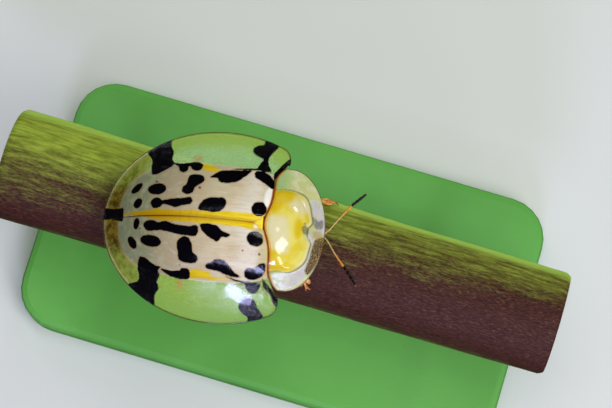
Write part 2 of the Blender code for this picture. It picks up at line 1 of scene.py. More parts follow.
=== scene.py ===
"""The tortoise beetle on its stem as in the photo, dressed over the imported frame.

Lengths are millimetres in the beetle's own frame: x towards its head, y to its left, z up, with
the rim of its wing cases at z = 0. They become metres in the row's frame when a mesh is made.
"""

import math
import random

import bmesh
import bpy
import numpy as np
from mathutils import Matrix, Vector, noise


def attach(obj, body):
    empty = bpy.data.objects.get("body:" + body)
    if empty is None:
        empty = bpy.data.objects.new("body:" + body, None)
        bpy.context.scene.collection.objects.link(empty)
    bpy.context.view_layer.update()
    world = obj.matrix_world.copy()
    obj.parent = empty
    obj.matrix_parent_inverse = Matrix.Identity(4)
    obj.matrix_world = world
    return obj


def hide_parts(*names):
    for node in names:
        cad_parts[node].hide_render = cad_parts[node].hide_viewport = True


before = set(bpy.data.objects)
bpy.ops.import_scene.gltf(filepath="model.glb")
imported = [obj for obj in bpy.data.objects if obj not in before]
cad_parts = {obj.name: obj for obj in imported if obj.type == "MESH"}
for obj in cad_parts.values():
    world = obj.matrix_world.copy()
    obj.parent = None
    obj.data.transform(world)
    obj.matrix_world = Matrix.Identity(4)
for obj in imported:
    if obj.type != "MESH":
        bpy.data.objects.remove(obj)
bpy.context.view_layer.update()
random.seed(7)

MM = 0.001
SEAM = 0.004  # half of the fine gap between plates that touch
DISC_WALL = 0.25
MARGIN_WALL = 0.1
PRONOTUM_WALL = 0.12

# The photo's view.
VIEW_TURN = math.radians(4.5)
VIEW_HEIGHT = math.radians(80.0)
VIEW_DISTANCE = 174.0
VIEW_WIDTH = 41.72
VIEW_TARGET = Vector((6.06, 2.08, 0.0))
VIEW_MIDDLE = Vector((6.06, 2.05))  # where the target is seen, in mm along and across the beetle
SENSOR = 36.0

# The lights look at the middle of the beetle, in metres, from one of two distances.
HEART = Vector((0.0, 0.0, 0.016))
NEAR = 0.26
FAR = 0.3
FLOOR_WIDTH = 4.0

# Stand and stem, as in the frame.
BASE_HEIGHT = 2.4
ROD_HEIGHT = 4.4
FRAME_GAP = 0.25
STEM_RADIUS_BACK = 4.0
STEM_RADIUS_FRONT = 3.7
STEM_LENGTH = 40.0
STEM_TURN = math.radians(-12.2)
STEM_TOP = -1.2
STEM_SIDE_SHIFT = 1.04
STEM_MIDDLE = 4.5
STEM_AXIS_HEIGHT = STEM_TOP - (STEM_RADIUS_BACK + STEM_RADIUS_FRONT) / 2
STEM_ALONG = Vector((math.cos(STEM_TURN), math.sin(STEM_TURN), 0.0))
STEM_LEFT = Vector((-math.sin(STEM_TURN), math.cos(STEM_TURN), 0.0))
STEM_ORIGIN = Vector((0.0, STEM_SIDE_SHIFT, STEM_AXIS_HEIGHT))
STEM_CENTRE = STEM_ORIGIN + STEM_ALONG * (STEM_MIDDLE / STEM_ALONG.x)
STEM_HEIGHT = BASE_HEIGHT + ROD_HEIGHT + 2 * FRAME_GAP + STEM_RADIUS_BACK
BEETLE_AT = Vector((-STEM_CENTRE.x, -STEM_CENTRE.y, STEM_HEIGHT - STEM_AXIS_HEIGHT))

# Wing cases, seen from above.
APEX = Vector((-0.3, 0.0))
DOME_HEIGHT = 3.7
RIM_CENTRE = 0.4
RIM_LENGTH = 7.98
RIM_WIDTH = 6.62
RIM_CORNER_X = 4.15
RIM_CORNER_RADIUS = 0.85
RIM_CORNER_END = math.radians(-31.6)
DISC_CENTRE = 0.5
DISC_LENGTH = 7.0
DISC_WIDTH = 3.93
DISC_POWER = 2.8
SHOULDER = Vector((3.85, 3.45))
DISC_EDGE_TAIL = 0.75
DISC_EDGE_SIDE = 1.6
DISC_EDGE_FRONT = 1.85
RIDGE_FRONT = 3.25
SHOULDER_RIM = 0.35
REAR_SHARE = 0.68
SIDE_SHARE = 0.62  # share of the front rows that end before the shoulder corner
STRIAE = 11.0  # fine lengthwise lines on each wing case
CORNER_LEAN = {1: 0.16, -1: 0.02}  # how far each front corner reaches forwards, by side
BEAD = 0.03  # half width of the bead along the rim, as a share of the margin
BEAD_HEIGHT = 0.05

# Pronotum, seen from above.
PRONOTUM_FRONT = 7.52
PRONOTUM_WIDTH = 4.2
PRONOTUM_WIDEST = 4.95
BASE_LINE = 3.88
LOBE_DEPTH = 0.5
LOBE_WIDTH = 1.15
FLARE_START = 3.0
FLARE_DEPTH = 0.65
PRONOTUM_CENTRE = 3.6
PRONOTUM_DISC_LENGTH = 2.8
PRONOTUM_DISC_WIDTH = 2.95
PRONOTUM_TOP = 3.15
PRONOTUM_EDGE_FRONT = 1.75
PRONOTUM_EDGE_SIDE = 2.0
PRONOTUM_RIM_FRONT = 0.95
PRONOTUM_RIM_SIDE = 1.25
SCUTELLUM_LENGTH = 0.62
SCUTELLUM_WIDTH = 0.5

# Body, head, feelers and legs.
KEEL = -0.05
BODY_EDGE = 0.95
ABDOMEN_END = -5.9
WAIST = -0.7
THORAX_FRONT = 3.2
PROTHORAX_FRONT = 5.3
HEAD_CENTRE = Vector((6.22, 0.0, 0.25))
HEAD_HALF = Vector((0.7, 1.0, 0.68))
EYE_CENTRE = Vector((6.15, 0.86, 0.42))
EYE_HALF = Vector((0.4, 0.3, 0.46))
ANTENNA_BENDS = {
    1: ((7.6, 0.2, 0.2), (8.37, 1.14, 0.28), (9.17, 2.11, 0.38), (9.67, 2.58, 0.44), (10.15, 3.02, 0.5)),
    -1: ((7.58, -0.25, 0.2), (8.25, -1.2, 0.28), (8.93, -2.07, 0.38), (9.42, -2.72, 0.44),
         (9.88, -3.36, 0.5)),
}
FOOT_LIFT = 0.17  # height of the feet's middle line off the stem
JOINT_SWELLS = (
    # place along a feeler joint, its share of the radius there, and the same for the last joint
    (0.0, 0.62, 0.7),
    (0.1, 0.82, 0.95),
    (0.35, 0.96, 1.0),
    (0.7, 1.0, 0.7),
    (0.92, 0.9, 0.36),
    (1.0, 0.62, 0.1),
)
# Each leg's coxa and knee as points, its ankle and claws as x and degrees round the stem.
LEGS = {
    "leg_front_left": ((4.7, 0.8, -0.3), (5.1, 3.5, -0.25), (6.6, 52), (8.1, 61)),
    "leg_front_right": ((4.7, -0.8, -0.3), (4.6, -3.5, -0.25), (5.9, -29), (6.6, -48)),
    "leg_middle_left": ((2.2, 1.35, -0.4), (1.3, 3.5, -0.35), (0.4, 55), (-0.4, 78)),
    "leg_middle_right": ((2.2, -1.35, -0.4), (1.2, -3.55, -0.35), (0.6, -58), (-0.2, -80)),
    "leg_hind_left": ((0.3, 1.5, -0.4), (-1.5, 4.5, -0.1), (-2.5, 30), (-3.9, 36)),
    "leg_hind_right": ((0.3, -1.5, -0.4), (-2.1, -3.95, -0.1), (-2.2, -55), (-3.3, -75)),
}

UP = Vector((0, 0, 1))


# Small helpers.
def smooth(value):
    """0 below 0 and 1 above 1, with an even turn between them."""
    value = min(max(value, 0.0), 1.0)
    return value * value * (3 - 2 * value)


def mix(low, high, share):
    """A number between two others."""
    return low + (high - low) * share


def through(points, share):
    """Point at a share of a smooth line through the points."""
    spans = len(points) - 1
    place = min(max(share, 0.0), 1.0) * spans
    i = min(int(place), spans - 1)
    t = place - i
    start = (points[i + 1] - points[max(i - 1, 0)]) / 2
    end = (points[min(i + 2, spans)] - points[i]) / 2
    a = points[i] * (2 * t**3 - 3 * t**2 + 1) + start * (t**3 - 2 * t**2 + t)
    return a + points[i + 1] * (3 * t**2 - 2 * t**3) + end * (t**3 - t**2)


def bands(rings, sides):
    """Faces between closed rings of points, one ring after another."""
    faces = []
    for i in range(rings - 1):
        for k in range(sides):
            j = (k + 1) % sides
            faces.append((i * sides + k, i * sides + j, (i + 1) * sides + j, (i + 1) * sides + k))
    return faces


def closed_bands(rings, sides):
    """The same with a flat face over the first and the last ring."""
    last = (rings - 1) * sides
    return bands(rings, sides) + [tuple(range(sides)), tuple(range(last, last + sides))]


def add_values(mesh, values):
    """Writes named numbers or vectors, one for each vertex, on the mesh."""
    for name, numbers in values.items():
        flat = np.asarray(numbers, dtype=np.float32)
        kind, field = ("FLOAT_VECTOR", "vector") if flat.ndim == 2 else ("FLOAT", "value")
        mesh.attributes.new(name, kind, "POINT").data.foreach_set(field, flat.ravel())


def piece(name, points, faces, finish, slot, values=None, angle=60):
    """Makes a piece of the beetle from points in mm, in the place of the CAD node of its name."""
    mesh = bpy.data.meshes.new(name)
    mesh.from_pydata([(Vector(p) + BEETLE_AT) * MM for p in points], [], faces)
    add_values(mesh, values or {})
    bm = bmesh.new()
    bm.from_mesh(mesh)
    bmesh.ops.recalc_face_normals(bm, faces=bm.faces)
    bm.to_mesh(mesh)
    bm.free()
    mesh.shade_smooth()
    mesh.set_sharp_from_angle(angle=math.radians(angle))
    mesh.materials.append(finish)
    made = bpy.data.objects.new(name, mesh)
    bpy.context.scene.collection.objects.link(made)
    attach(made, "root")
    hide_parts(name)
    return made


def add_wall(made, thickness):
    """Turns the open skin's front outwards and gives it a wall in mm on its inner side."""
    if sum(p.normal.z * p.area for p in made.data.polygons) < 0:
        made.data.flip_normals()
    wall = made.modifiers.new("wall", "SOLIDIFY")
    wall.thickness = thickness * MM
    wall.offset = -1.0
    return wall


class Parts:
    """Gathers the points and faces of several closed forms for one piece."""

    def __init__(self):
        self.points = []
        self.faces = []
        self.values = {}

    def add(self, points, faces, **values):
        start = len(self.points)
        self.points += points
        self.faces += [[start + i for i in face] for face in faces]
        for name, numbers in values.items():
            self.values.setdefault(name, [0.0] * start).extend(numbers)

    def tube(self, line, sides=14, up=UP, **values):
        """A closed form round a line of (point, width, depth)."""
        rings = []
        count = len(line)
        for i, (point, width, depth) in enumerate(line):
            along = (line[min(i + 1, count - 1)][0] - line[max(i - 1, 0)][0]).normalized()
            across = along.cross(up).normalized()
            over = across.cross(along).normalized()
            for k in range(sides):
                turn = 2 * math.pi * k / sides
                rings.append(point + across * width * math.cos(turn) + over * depth * math.sin(turn))
        spread = {name: [v for v in numbers for _ in range(sides)] for name, numbers in values.items()}
        self.add(rings, closed_bands(count, sides), **spread)

    def ball(self, centre, half, sides=24, rings=16, **values):
        points = [centre - Vector((0, 0, half.z))]
        for i in range(1, rings):
            low = math.pi * i / rings
            for k in range(sides):
                turn = 2 * math.pi * k / sides
                way = Vector((math.sin(low) * math.cos(turn), math.sin(low) * math.sin(turn), -math.cos(low)))
                points.append(centre + way * half)
        points.append(centre + Vector((0, 0, half.z)))
        faces = []
        last = len(points) - 1
        for k in range(sides):
            j = (k + 1) % sides
            faces.append((0, 1 + j, 1 + k))
            faces.append((last, last - sides + k, last - sides + j))
            for i in range(rings - 2):
                a = 1 + i * sides
                faces.append((a + k, a + j, a + sides + j, a + sides + k))
        self.add(points, faces, **{name: [v] * len(points) for name, v in values.items()})

    def made(self, name, finish, slot):
        """The piece of all the forms gathered, in the place of the node of its name."""
        return piece(name, self.points, self.faces, finish, slot, self.values)


# The photo's view, and shapes drawn in it.
RIGHT = Vector((math.cos(VIEW_TURN), math.sin(VIEW_TURN), 0.0))
BACK = Vector(
    (
        math.sin(VIEW_TURN) * math.cos(VIEW_HEIGHT),
        -math.cos(VIEW_TURN) * math.cos(VIEW_HEIGHT),
        math.sin(VIEW_HEIGHT),
    )
)
VIEW_UP = BACK.cross(RIGHT)


def seen(point):
    """Where the photo shows a point, in mm along and across the beetle."""
    way = Vector(point) - VIEW_TARGET
    nearer = VIEW_DISTANCE / (VIEW_DISTANCE - way.dot(BACK))
    right = way.dot(RIGHT) * nearer
    up = way.dot(VIEW_UP) * nearer
    return (
        VIEW_MIDDLE.x + right * math.cos(VIEW_TURN) - up * math.sin(VIEW_TURN),
        VIEW_MIDDLE.y + right * math.sin(VIEW_TURN) + up * math.cos(VIEW_TURN),
    )


def rounded(corners, steps=6):
    """A closed smooth outline through the corners."""
    ring = [Vector(c) for c in corners]
    count = len(ring)
    outline = []
    for i in range(count):
        four = [ring[(i + k - 1) % count] for k in range(4)]
        for s in range(steps):
            outline.append(through(four, (1 + s / steps) / 3))
    return np.array([tuple(p) for p in outline])


def oval(x, y, length, width, tilt=0.0, steps=28):
    """An oval spot: its middle, its size and its tilt in degrees."""
    turn = math.radians(tilt)
    along = Vector((math.cos(turn), math.sin(turn)))
    across = Vector((-along.y, along.x))
    outline = []
    for k in range(steps):
        a = 2 * math.pi * k / steps
        way = along * math.cos(a) * length / 2 + across * math.sin(a) * width / 2
        outline.append((x + way.x, y + way.y))
    return np.array(outline)


def distance_to(outline, spots):
    """Distance from spots to a closed outline, below 0 inside it."""
    nearest = np.full(len(spots), 1e9)
    inside = np.zeros(len(spots), dtype=bool)
    for a, b in zip(outline, np.roll(outline, -1, axis=0)):
        edge = b - a
        way = spots - a
        share = np.clip(way @ edge / max(edge @ edge, 1e-12), 0, 1)
        nearest = np.minimum(nearest, np.hypot(*(way - share[:, None] * edge).T))
        if a[1] != b[1]:
            crossing = (a[1] > spots[:, 1]) != (b[1] > spots[:, 1])
            x = a[0] + (spots[:, 1] - a[1]) * edge[0] / edge[1]
            inside ^= crossing & (spots[:, 0] < x)
    return np.where(inside, -nearest, nearest)


def nearest_of(outlines, places):
    """Distance of places in the photo to the nearest of several outlines."""
    found = np.full(len(places), 9.0)
    for outline in outlines:
        found = np.minimum(found, distance_to(outline, places))
    return found


TAIL_SPOT = rounded([
    (-7.8, -0.1), (-7.0, -0.03), (-6.36, -0.12), (-6.3, 0.3), (-6.36, 0.78), (-6.9, 0.68), (-7.8, 0.62),
])
LEFT_SPOTS = [
    TAIL_SPOT,
    rounded([
        (-4.9, 4.6), (-4.62, 4.2), (-4.62, 3.7), (-4.55, 3.25), (-4.2, 3.3), (-3.7, 3.6), (-3.1, 4.05),
        (-3.27, 4.4), (-3.2, 4.9), (-3.4, 5.3), (-3.4, 6.0), (-4.4, 6.0), (-5.0, 5.0),
    ]),
    rounded([
        (-3.2, 4.15), (-2.7, 4.14), (-2.2, 4.2), (-1.6, 4.32), (-1.17, 4.22), (-1.18, 3.96),
        (-1.45, 3.74), (-1.8, 3.78), (-1.98, 3.98), (-2.12, 3.96), (-2.16, 3.72), (-2.42, 3.54),
        (-2.72, 3.66), (-2.78, 3.9), (-3.0, 4.02),
    ]),
    rounded([
        (-0.58, 3.35), (-0.1, 3.36), (0.05, 3.12), (0.6, 3.06), (1.2, 3.2), (1.6, 3.45), (1.95, 3.75),
        (2.2, 4.04), (1.5, 3.98), (0.6, 3.92), (0.1, 3.85), (-0.3, 3.6),
    ]),
    rounded([
        (2.42, 3.85), (2.6, 4.02), (3.0, 4.02), (3.5, 3.75), (3.85, 3.3), (3.88, 2.98), (3.6, 2.9),
        (3.25, 3.15), (2.8, 3.42), (2.5, 3.6),
    ]),
    rounded([
        (-2.06, 3.22), (-1.76, 3.46), (-1.2, 3.46), (-0.95, 3.2), (-1.14, 2.92), (-1.55, 2.62),
        (-1.72, 2.24), (-2.12, 2.1), (-2.42, 2.24), (-2.4, 2.56), (-2.14, 2.82),
    ]),
    oval(-4.13, 2.28, 1.25, 0.76, 12),
    oval(-5.5, 2.2, 0.98, 0.4, 47),
    oval(-5.37, 1.2, 0.76, 0.5, 62),
    rounded([
        (-4.5, 1.3), (-4.34, 1.62), (-4.0, 1.7), (-3.72, 1.54), (-3.5, 1.6), (-3.0, 1.72), (-2.3, 1.82),
        (-1.85, 1.9), (-1.68, 1.7), (-1.8, 1.46), (-2.3, 1.34), (-2.7, 1.16), (-3.0, 1.18), (-3.6, 1.3),
        (-3.9, 1.04), (-4.3, 0.98),
    ]),
    rounded([
        (-1.25, 1.15), (-1.0, 1.7), (-0.6, 1.95), (0.0, 2.02), (0.5, 2.0), (0.62, 1.6), (0.35, 1.2),
        (-0.1, 1.0), (-0.7, 1.06),
    ]),
    oval(2.9, 1.45, 1.02, 1.0),
    rounded([
        (2.2, 5.35), (2.28, 5.62), (2.55, 5.78), (2.9, 5.87), (3.05, 6.3), (3.6, 6.4), (3.9, 5.8),
        (3.6, 5.4), (3.3, 4.95), (3.33, 4.5), (3.5, 4.05), (2.6, 4.12), (2.72, 4.5), (2.95, 4.85),
        (2.5, 5.08),
    ]),
    rounded([
        (3.75, 3.9), (4.0, 4.25), (4.4, 4.72), (4.85, 5.1), (5.3, 5.1), (5.2, 4.4), (4.4, 3.7),
        (3.85, 3.4),
    ]),
    rounded([(0.9, 4.02), (1.8, 4.14), (2.7, 4.2), (2.7, 4.1), (1.8, 4.05)]),
]
RIGHT_SPOTS = [
    TAIL_SPOT,
    rounded([
        (-5.0, -2.5), (-4.9, -2.38), (-4.6, -2.45), (-4.3, -2.65), (-3.9, -2.9), (-3.5, -3.0),
        (-3.65, -3.2), (-3.52, -3.6), (-3.65, -4.0), (-3.5, -4.5), (-3.75, -5.0), (-3.85, -5.9),
        (-5.5, -4.5), (-5.25, -4.2), (-4.98, -4.1), (-4.9, -3.7), (-5.05, -3.2),
    ]),
    rounded([
        (-3.5, -3.1), (-2.8, -3.2), (-2.2, -3.15), (-2.05, -2.98), (-1.6, -3.0), (-1.45, -3.4),
        (-1.65, -3.72), (-2.5, -3.66), (-3.1, -3.42),
    ]),
    rounded([
        (-0.45, -2.62), (-0.1, -2.4), (0.3, -2.18), (0.8, -2.25), (1.2, -2.6), (1.5, -2.95),
        (1.95, -3.25), (1.4, -3.28), (0.8, -3.12), (0.3, -2.95), (-0.3, -2.88),
    ]),
    rounded([
        (2.25, -2.95), (2.4, -2.65), (2.9, -2.6), (3.2, -2.3), (3.6, -2.25), (3.62, -2.8), (3.3, -3.22),
        (2.8, -3.4), (2.35, -3.28),
    ]),
    rounded([
        (-2.5, -1.2), (-2.15, -0.82), (-1.75, -0.88), (-1.5, -1.3), (-1.4, -1.8), (-1.05, -2.1),
        (-1.12, -2.5), (-1.75, -2.58), (-2.28, -2.4), (-2.4, -1.9),
    ]),
    oval(-4.3, -1.28, 1.42, 0.8, -6),
    oval(-5.55, -1.5, 0.9, 0.5, -60),
    oval(-5.36, -0.2, 0.8, 0.4, 84),
    rounded([
        (-4.88, -0.25), (-4.7, 0.05), (-4.2, 0.12), (-3.9, 0.02), (-3.4, 0.15), (-2.9, 0.0),
        (-2.4, -0.05), (-1.8, -0.08), (-1.3, 0.02), (-1.12, -0.3), (-1.3, -0.7), (-1.9, -0.72),
        (-2.4, -0.7), (-3.0, -0.58), (-3.5, -0.5), (-4.1, -0.55), (-4.6, -0.6),
    ]),
    rounded([
        (-1.0, 0.13), (-0.4, 0.2), (0.15, 0.08), (0.45, -0.2), (1.02, -0.42), (0.9, -0.62), (0.5, -0.65),
        (0.22, -0.98), (-0.1, -0.85), (-0.6, -0.55), (-0.92, -0.2),
    ]),
    oval(2.78, -0.6, 1.14, 0.98, -20),
    rounded([
        (2.0, -5.3), (2.3, -4.75), (2.75, -4.6), (3.1, -4.85), (3.3, -5.25), (3.7, -5.75), (3.75, -6.5),
        (2.75, -6.5), (2.7, -6.0), (2.3, -5.75),
    ]),
    rounded([(2.35, -3.6), (2.85, -3.58), (3.35, -3.62), (3.25, -4.1), (2.95, -4.35), (2.55, -4.2)]),
    rounded([
        (3.5, -3.3), (3.75, -3.55), (4.15, -3.95), (4.5, -4.45), (4.85, -5.0), (4.45, -5.05),
        (4.1, -4.35), (3.65, -3.9),
    ]),
    rounded([(1.0, -3.3), (1.8, -3.5), (2.6, -3.62), (2.6, -3.72), (1.8, -3.6)]),
]
YELLOW_PATCHES = [
    rounded([
        (-1.22, 4.26), (-0.7, 4.22), (-0.2, 4.02), (0.02, 3.86), (-0.3, 3.76), (-0.85, 3.82),
        (-1.2, 3.95),
    ]),
    rounded([
        (-1.45, -3.05), (-0.9, -3.02), (-0.35, -3.08), (-0.08, -3.25), (-0.3, -3.46), (-0.9, -3.58),
        (-1.4, -3.58),
    ]),
    rounded([(-0.3, -3.4), (0.5, -3.43), (1.2, -3.52), (0.5, -3.55), (-0.3, -3.54)]),
]
FRONT_SPOTS = 2.6  # the dark spots nearer to the base than this are the glossiest
LEG_SHADES = [oval(-1.5, 4.62, 0.9, 0.5, 20), oval(-2.1, -4.15, 0.6, 0.8)]  # where knees show through
# Painted highlights: a pale sheen by the left shoulder and two small glints beside the suture near the
# scutellum.
PAINTED_SHEEN_PATCHES = [oval(3.52, 2.3, 0.6, 1.35, -8), oval(2.78, 0.3, 0.3, 0.3), oval(3.4, 0.55, 0.22, 0.3)]
BROWN_DOTS = [
    oval(-4.2, 2.78, 0.2, 0.16),
    oval(-1.25, 2.6, 0.22, 0.18),
    oval(2.0, -1.45, 0.14, 0.14),
    oval(3.15, -1.62, 0.18, 0.2),
    oval(-5.1, -0.5, 0.14, 0.2),
    oval(-2.2, -2.75, 0.12, 0.12),
]
PRONOTUM_DISC = rounded([
    (3.2, -2.5), (3.2, 0.5), (3.4, 2.6), (3.95, 2.78), (4.4, 2.89), (5.1, 2.84), (5.69, 2.67),
    (6.07, 2.42), (6.32, 1.93), (6.47, 1.37), (6.58, 0.78), (6.32, 0.42), (6.26, 0.0), (6.43, -0.38),
    (6.56, -0.64), (6.46, -1.15), (6.32, -1.74), (6.0, -2.19), (5.45, -2.56), (5.0, -2.65), (4.4, -2.62),
    (3.8, -2.7),
])
# Paler clouds on the pronotum disc: partly its own paler tone, partly painted sheen; the thin streak is a
# painted highlight.
PRONOTUM_PALE_AND_SHEEN = [
    rounded([
        (3.94, 1.1), (4.81, 1.02), (5.01, 0.32), (5.07, -0.4), (5.07, -1.33), (4.72, -1.43),
        (4.13, -1.26), (3.8, -0.78), (3.5, -0.09), (3.48, 0.63), (3.67, 0.93),
    ]),
    oval(5.65, 1.85, 1.5, 0.9, -20),
    oval(4.5, 2.2, 0.9, 0.26, -4),
]
PRONOTUM_GOLD = [
    rounded([
        (3.7, 2.7), (4.23, 2.88), (4.89, 2.83), (5.12, 2.56), (5.08, 2.19), (4.52, 1.93), (4.2, 1.48),
        (3.8, 1.4),
    ]),
    rounded([
        (3.5, -1.4), (4.13, -1.33), (4.51, -1.52), (4.31, -1.75), (4.71, -2.22), (5.01, -2.38),
        (4.66, -2.48), (3.8, -2.56),
    ]),
    oval(5.66, 0.3, 0.5, 1.3),
]
# Whitish frosted patches on the margin: partly whitish tissue, partly painted reflection; the small oval by
# the head notch is a painted highlight.
PRONOTUM_WHITE_AND_SHEEN = [
    rounded([
        (6.44, 2.23), (6.88, 2.19), (7.29, 1.58), (7.6, 0.8), (7.6, 0.09), (7.04, 0.12), (6.86, 0.54),
        (6.68, 1.03), (6.53, 1.59),
    ]),
    rounded([
        (4.12, -2.99), (4.46, -2.82), (5.32, -2.72), (5.95, -2.41), (6.32, -1.74), (6.49, -1.15),
        (6.6, -0.49), (6.9, -0.17), (6.75, -0.55), (6.56, -1.43), (6.36, -2.17), (6.34, -2.81),
        (6.01, -3.27), (5.4, -3.75), (4.48, -3.9), (4.23, -3.48),
    ]),
    oval(6.5, -0.12, 0.36, 0.42),
]
PRONOTUM_HATCH = [
    rounded([
        (6.81, -0.55), (7.07, -0.24), (7.5, -0.21), (7.45, -0.93), (7.2, -1.67), (6.83, -2.42),
        (6.55, -2.75), (6.35, -2.53), (6.43, -2.16), (6.6, -1.57),
    ]),
]
HEAD_SHADE = [oval(6.98, -0.02, 0.7, 0.62)]  # where the head shows through
PRONOTUM_MARKS = [
    rounded([(5.9, 0.42), (6.1, 0.55), (6.3, 0.42), (6.36, 0.06), (6.12, -0.03), (5.96, 0.17)]),
    rounded([(6.6, 1.16), (6.85, 1.04), (7.0, 0.9), (7.28, 1.0), (7.3, 0.5), (6.95, 0.4), (6.71, 0.67)]),
    oval(6.08, 0.68, 0.12, 0.12),
]
PRONOTUM_SHAPES = {
    # paler clouds, partly painted sheen
    "pale": PRONOTUM_PALE_AND_SHEEN,
    "gold": PRONOTUM_GOLD,
    # whitish frost, partly painted reflection
    "white": PRONOTUM_WHITE_AND_SHEEN,
    "hatch": PRONOTUM_HATCH,
    "marks": PRONOTUM_MARKS,
    "head": HEAD_SHADE,
}
# The yellow stripe along the suture: x, and y of its right and left edges.
STRIPE_EDGES = [
    Vector((-6.4, 0.38, 0.42)),
    Vector((-5.0, 0.34, 0.74)),
    Vector((-4.0, 0.2, 0.95)),
    Vector((-2.0, 0.2, 0.99)),
    Vector((0.0, 0.22, 1.08)),
    Vector((1.5, 0.14, 1.14)),
    Vector((3.2, 0.1, 1.08)),
]


# Wing cases.
def corner_centre():
    """Centre of the round shoulder corner, and the angle at which it leaves the rim."""
    share = (RIM_CORNER_X - RIM_CENTRE) / RIM_LENGTH
    y = RIM_WIDTH * math.sqrt(1 - share * share)
    out = Vector((share / RIM_LENGTH, y / RIM_WIDTH**2)).normalized()
    return Vector((RIM_CORNER_X, y)) - out * RIM_CORNER_RADIUS, math.atan2(out.y, out.x)


CORNER, CORNER_START = corner_centre()


def front_rim(share):
    """Point of the rim from its widest place, at 0, round the shoulder corner, at 1."""
    if share < SIDE_SHARE:
        x = mix(RIM_CENTRE, RIM_CORNER_X, share / SIDE_SHARE)
        return Vector((x, RIM_WIDTH * math.sqrt(1 - ((x - RIM_CENTRE) / RIM_LENGTH) ** 2)))
    turn = mix(CORNER_START, RIM_CORNER_END, (share - SIDE_SHARE) / (1 - SIDE_SHARE))
    return CORNER + RIM_CORNER_RADIUS * Vector((math.cos(turn), math.sin(turn)))


def pronotum_hind_edge(y):
    """x of the hind edge: a middle lobe that points back, and corners that flare forward."""
    flare = max(0.0, (abs(y) - FLARE_START) / (PRONOTUM_WIDTH - FLARE_START))
    return BASE_LINE - LOBE_DEPTH * math.exp(-((y / LOBE_WIDTH) ** 2)) + FLARE_DEPTH * flare**2


def base_edge(y):
    """x of the front edge of the wing cases."""
    beside_scutellum = (abs(y) - SCUTELLUM_WIDTH) * SCUTELLUM_LENGTH / SCUTELLUM_WIDTH
    return pronotum_hind_edge(y) - 2 * SEAM + min(0.0, beside_scutellum)


def wing_case_line(row):
    """Suture, disc edge and rim points of one line across a wing case, from tail to base."""
    if row <= REAR_SHARE:
        turn = math.pi / 2 * row / REAR_SHARE
        power = 2 / DISC_POWER
        x = DISC_CENTRE - DISC_LENGTH * math.cos(turn) ** power
        edge_z = mix(DISC_EDGE_TAIL, DISC_EDGE_SIDE, math.sin(turn) ** 2)
        edge = Vector((x, DISC_WIDTH * math.sin(turn) ** power, edge_z))
        around = math.pi / 2 * (row / REAR_SHARE) ** 1.25
        rim = Vector((RIM_CENTRE - RIM_LENGTH * math.cos(around), RIM_WIDTH * math.sin(around), 0.0))
        return Vector((*APEX, DOME_HEIGHT)), edge, rim
    share = (row - REAR_SHARE) / (1 - REAR_SHARE)
    suture = Vector((mix(APEX.x, base_edge(0.0), share), 0.0, mix(DOME_HEIGHT, RIDGE_FRONT, share * share)))
    edge_y = mix(DISC_WIDTH, SHOULDER.y, share**2.5)
    edge = Vector((mix(DISC_CENTRE, SHOULDER.x, share), edge_y, mix(DISC_EDGE_SIDE, DISC_EDGE_FRONT, share)))
    rim = Vector((*front_rim(share), SHOULDER_RIM * smooth((share - 0.6) / 0.4)))
    return suture, edge, rim


def wing_case_point(row, t, lean=0.0):
    """A point of the outer face: t runs 0 to 1 over the disc and 1 to 2 over the clear margin."""
    suture, edge, rim = wing_case_line(row)
    suture.y = SEAM
    if t <= 1:
        point = suture.lerp(edge, t)
        point.z = mix(edge.z, suture.z, (1 - t**2.2) ** 0.9)
        first, last = wing_case_line(1.0)[:2]
        straight = mix(first.x, last.x, point.y / last.y)
        point.x += smooth((row - REAR_SHARE) / (1 - REAR_SHARE)) * (base_edge(point.y) - straight)
        return point
    point = edge.lerp(rim, t - 1)
    bead = max(0.0, 1 - ((t - 2 + BEAD) / BEAD) ** 2)
    point.z = mix(rim.z, edge.z, (2 - t) ** 1.15) + 0.05 * (t - 1) ** 8 + BEAD_HEIGHT * math.sqrt(bead)
    facing = smooth((row - REAR_SHARE) / (1 - REAR_SHARE))
    point.x += facing * (base_edge(SHOULDER.y) - SHOULDER.x) * (2 - t)
    point.x += facing**3 * lean * smooth(t - 1)
    return point


def stripe_distance(place):
    """Distance from the yellow stripe along the suture, below 0 inside it."""
    x, y = place
    edges = STRIPE_EDGES
    for a, b in zip(edges, edges[1:]):
        if x <= b.x:
            share = (x - a.x) / (b.x - a.x)
            if share < 0:
                return 1.0
            return max(mix(a.y, b.y, share) - y, y - mix(a.z, b.z, share))
    return max(edges[-1].y - y, y - edges[-1].z)


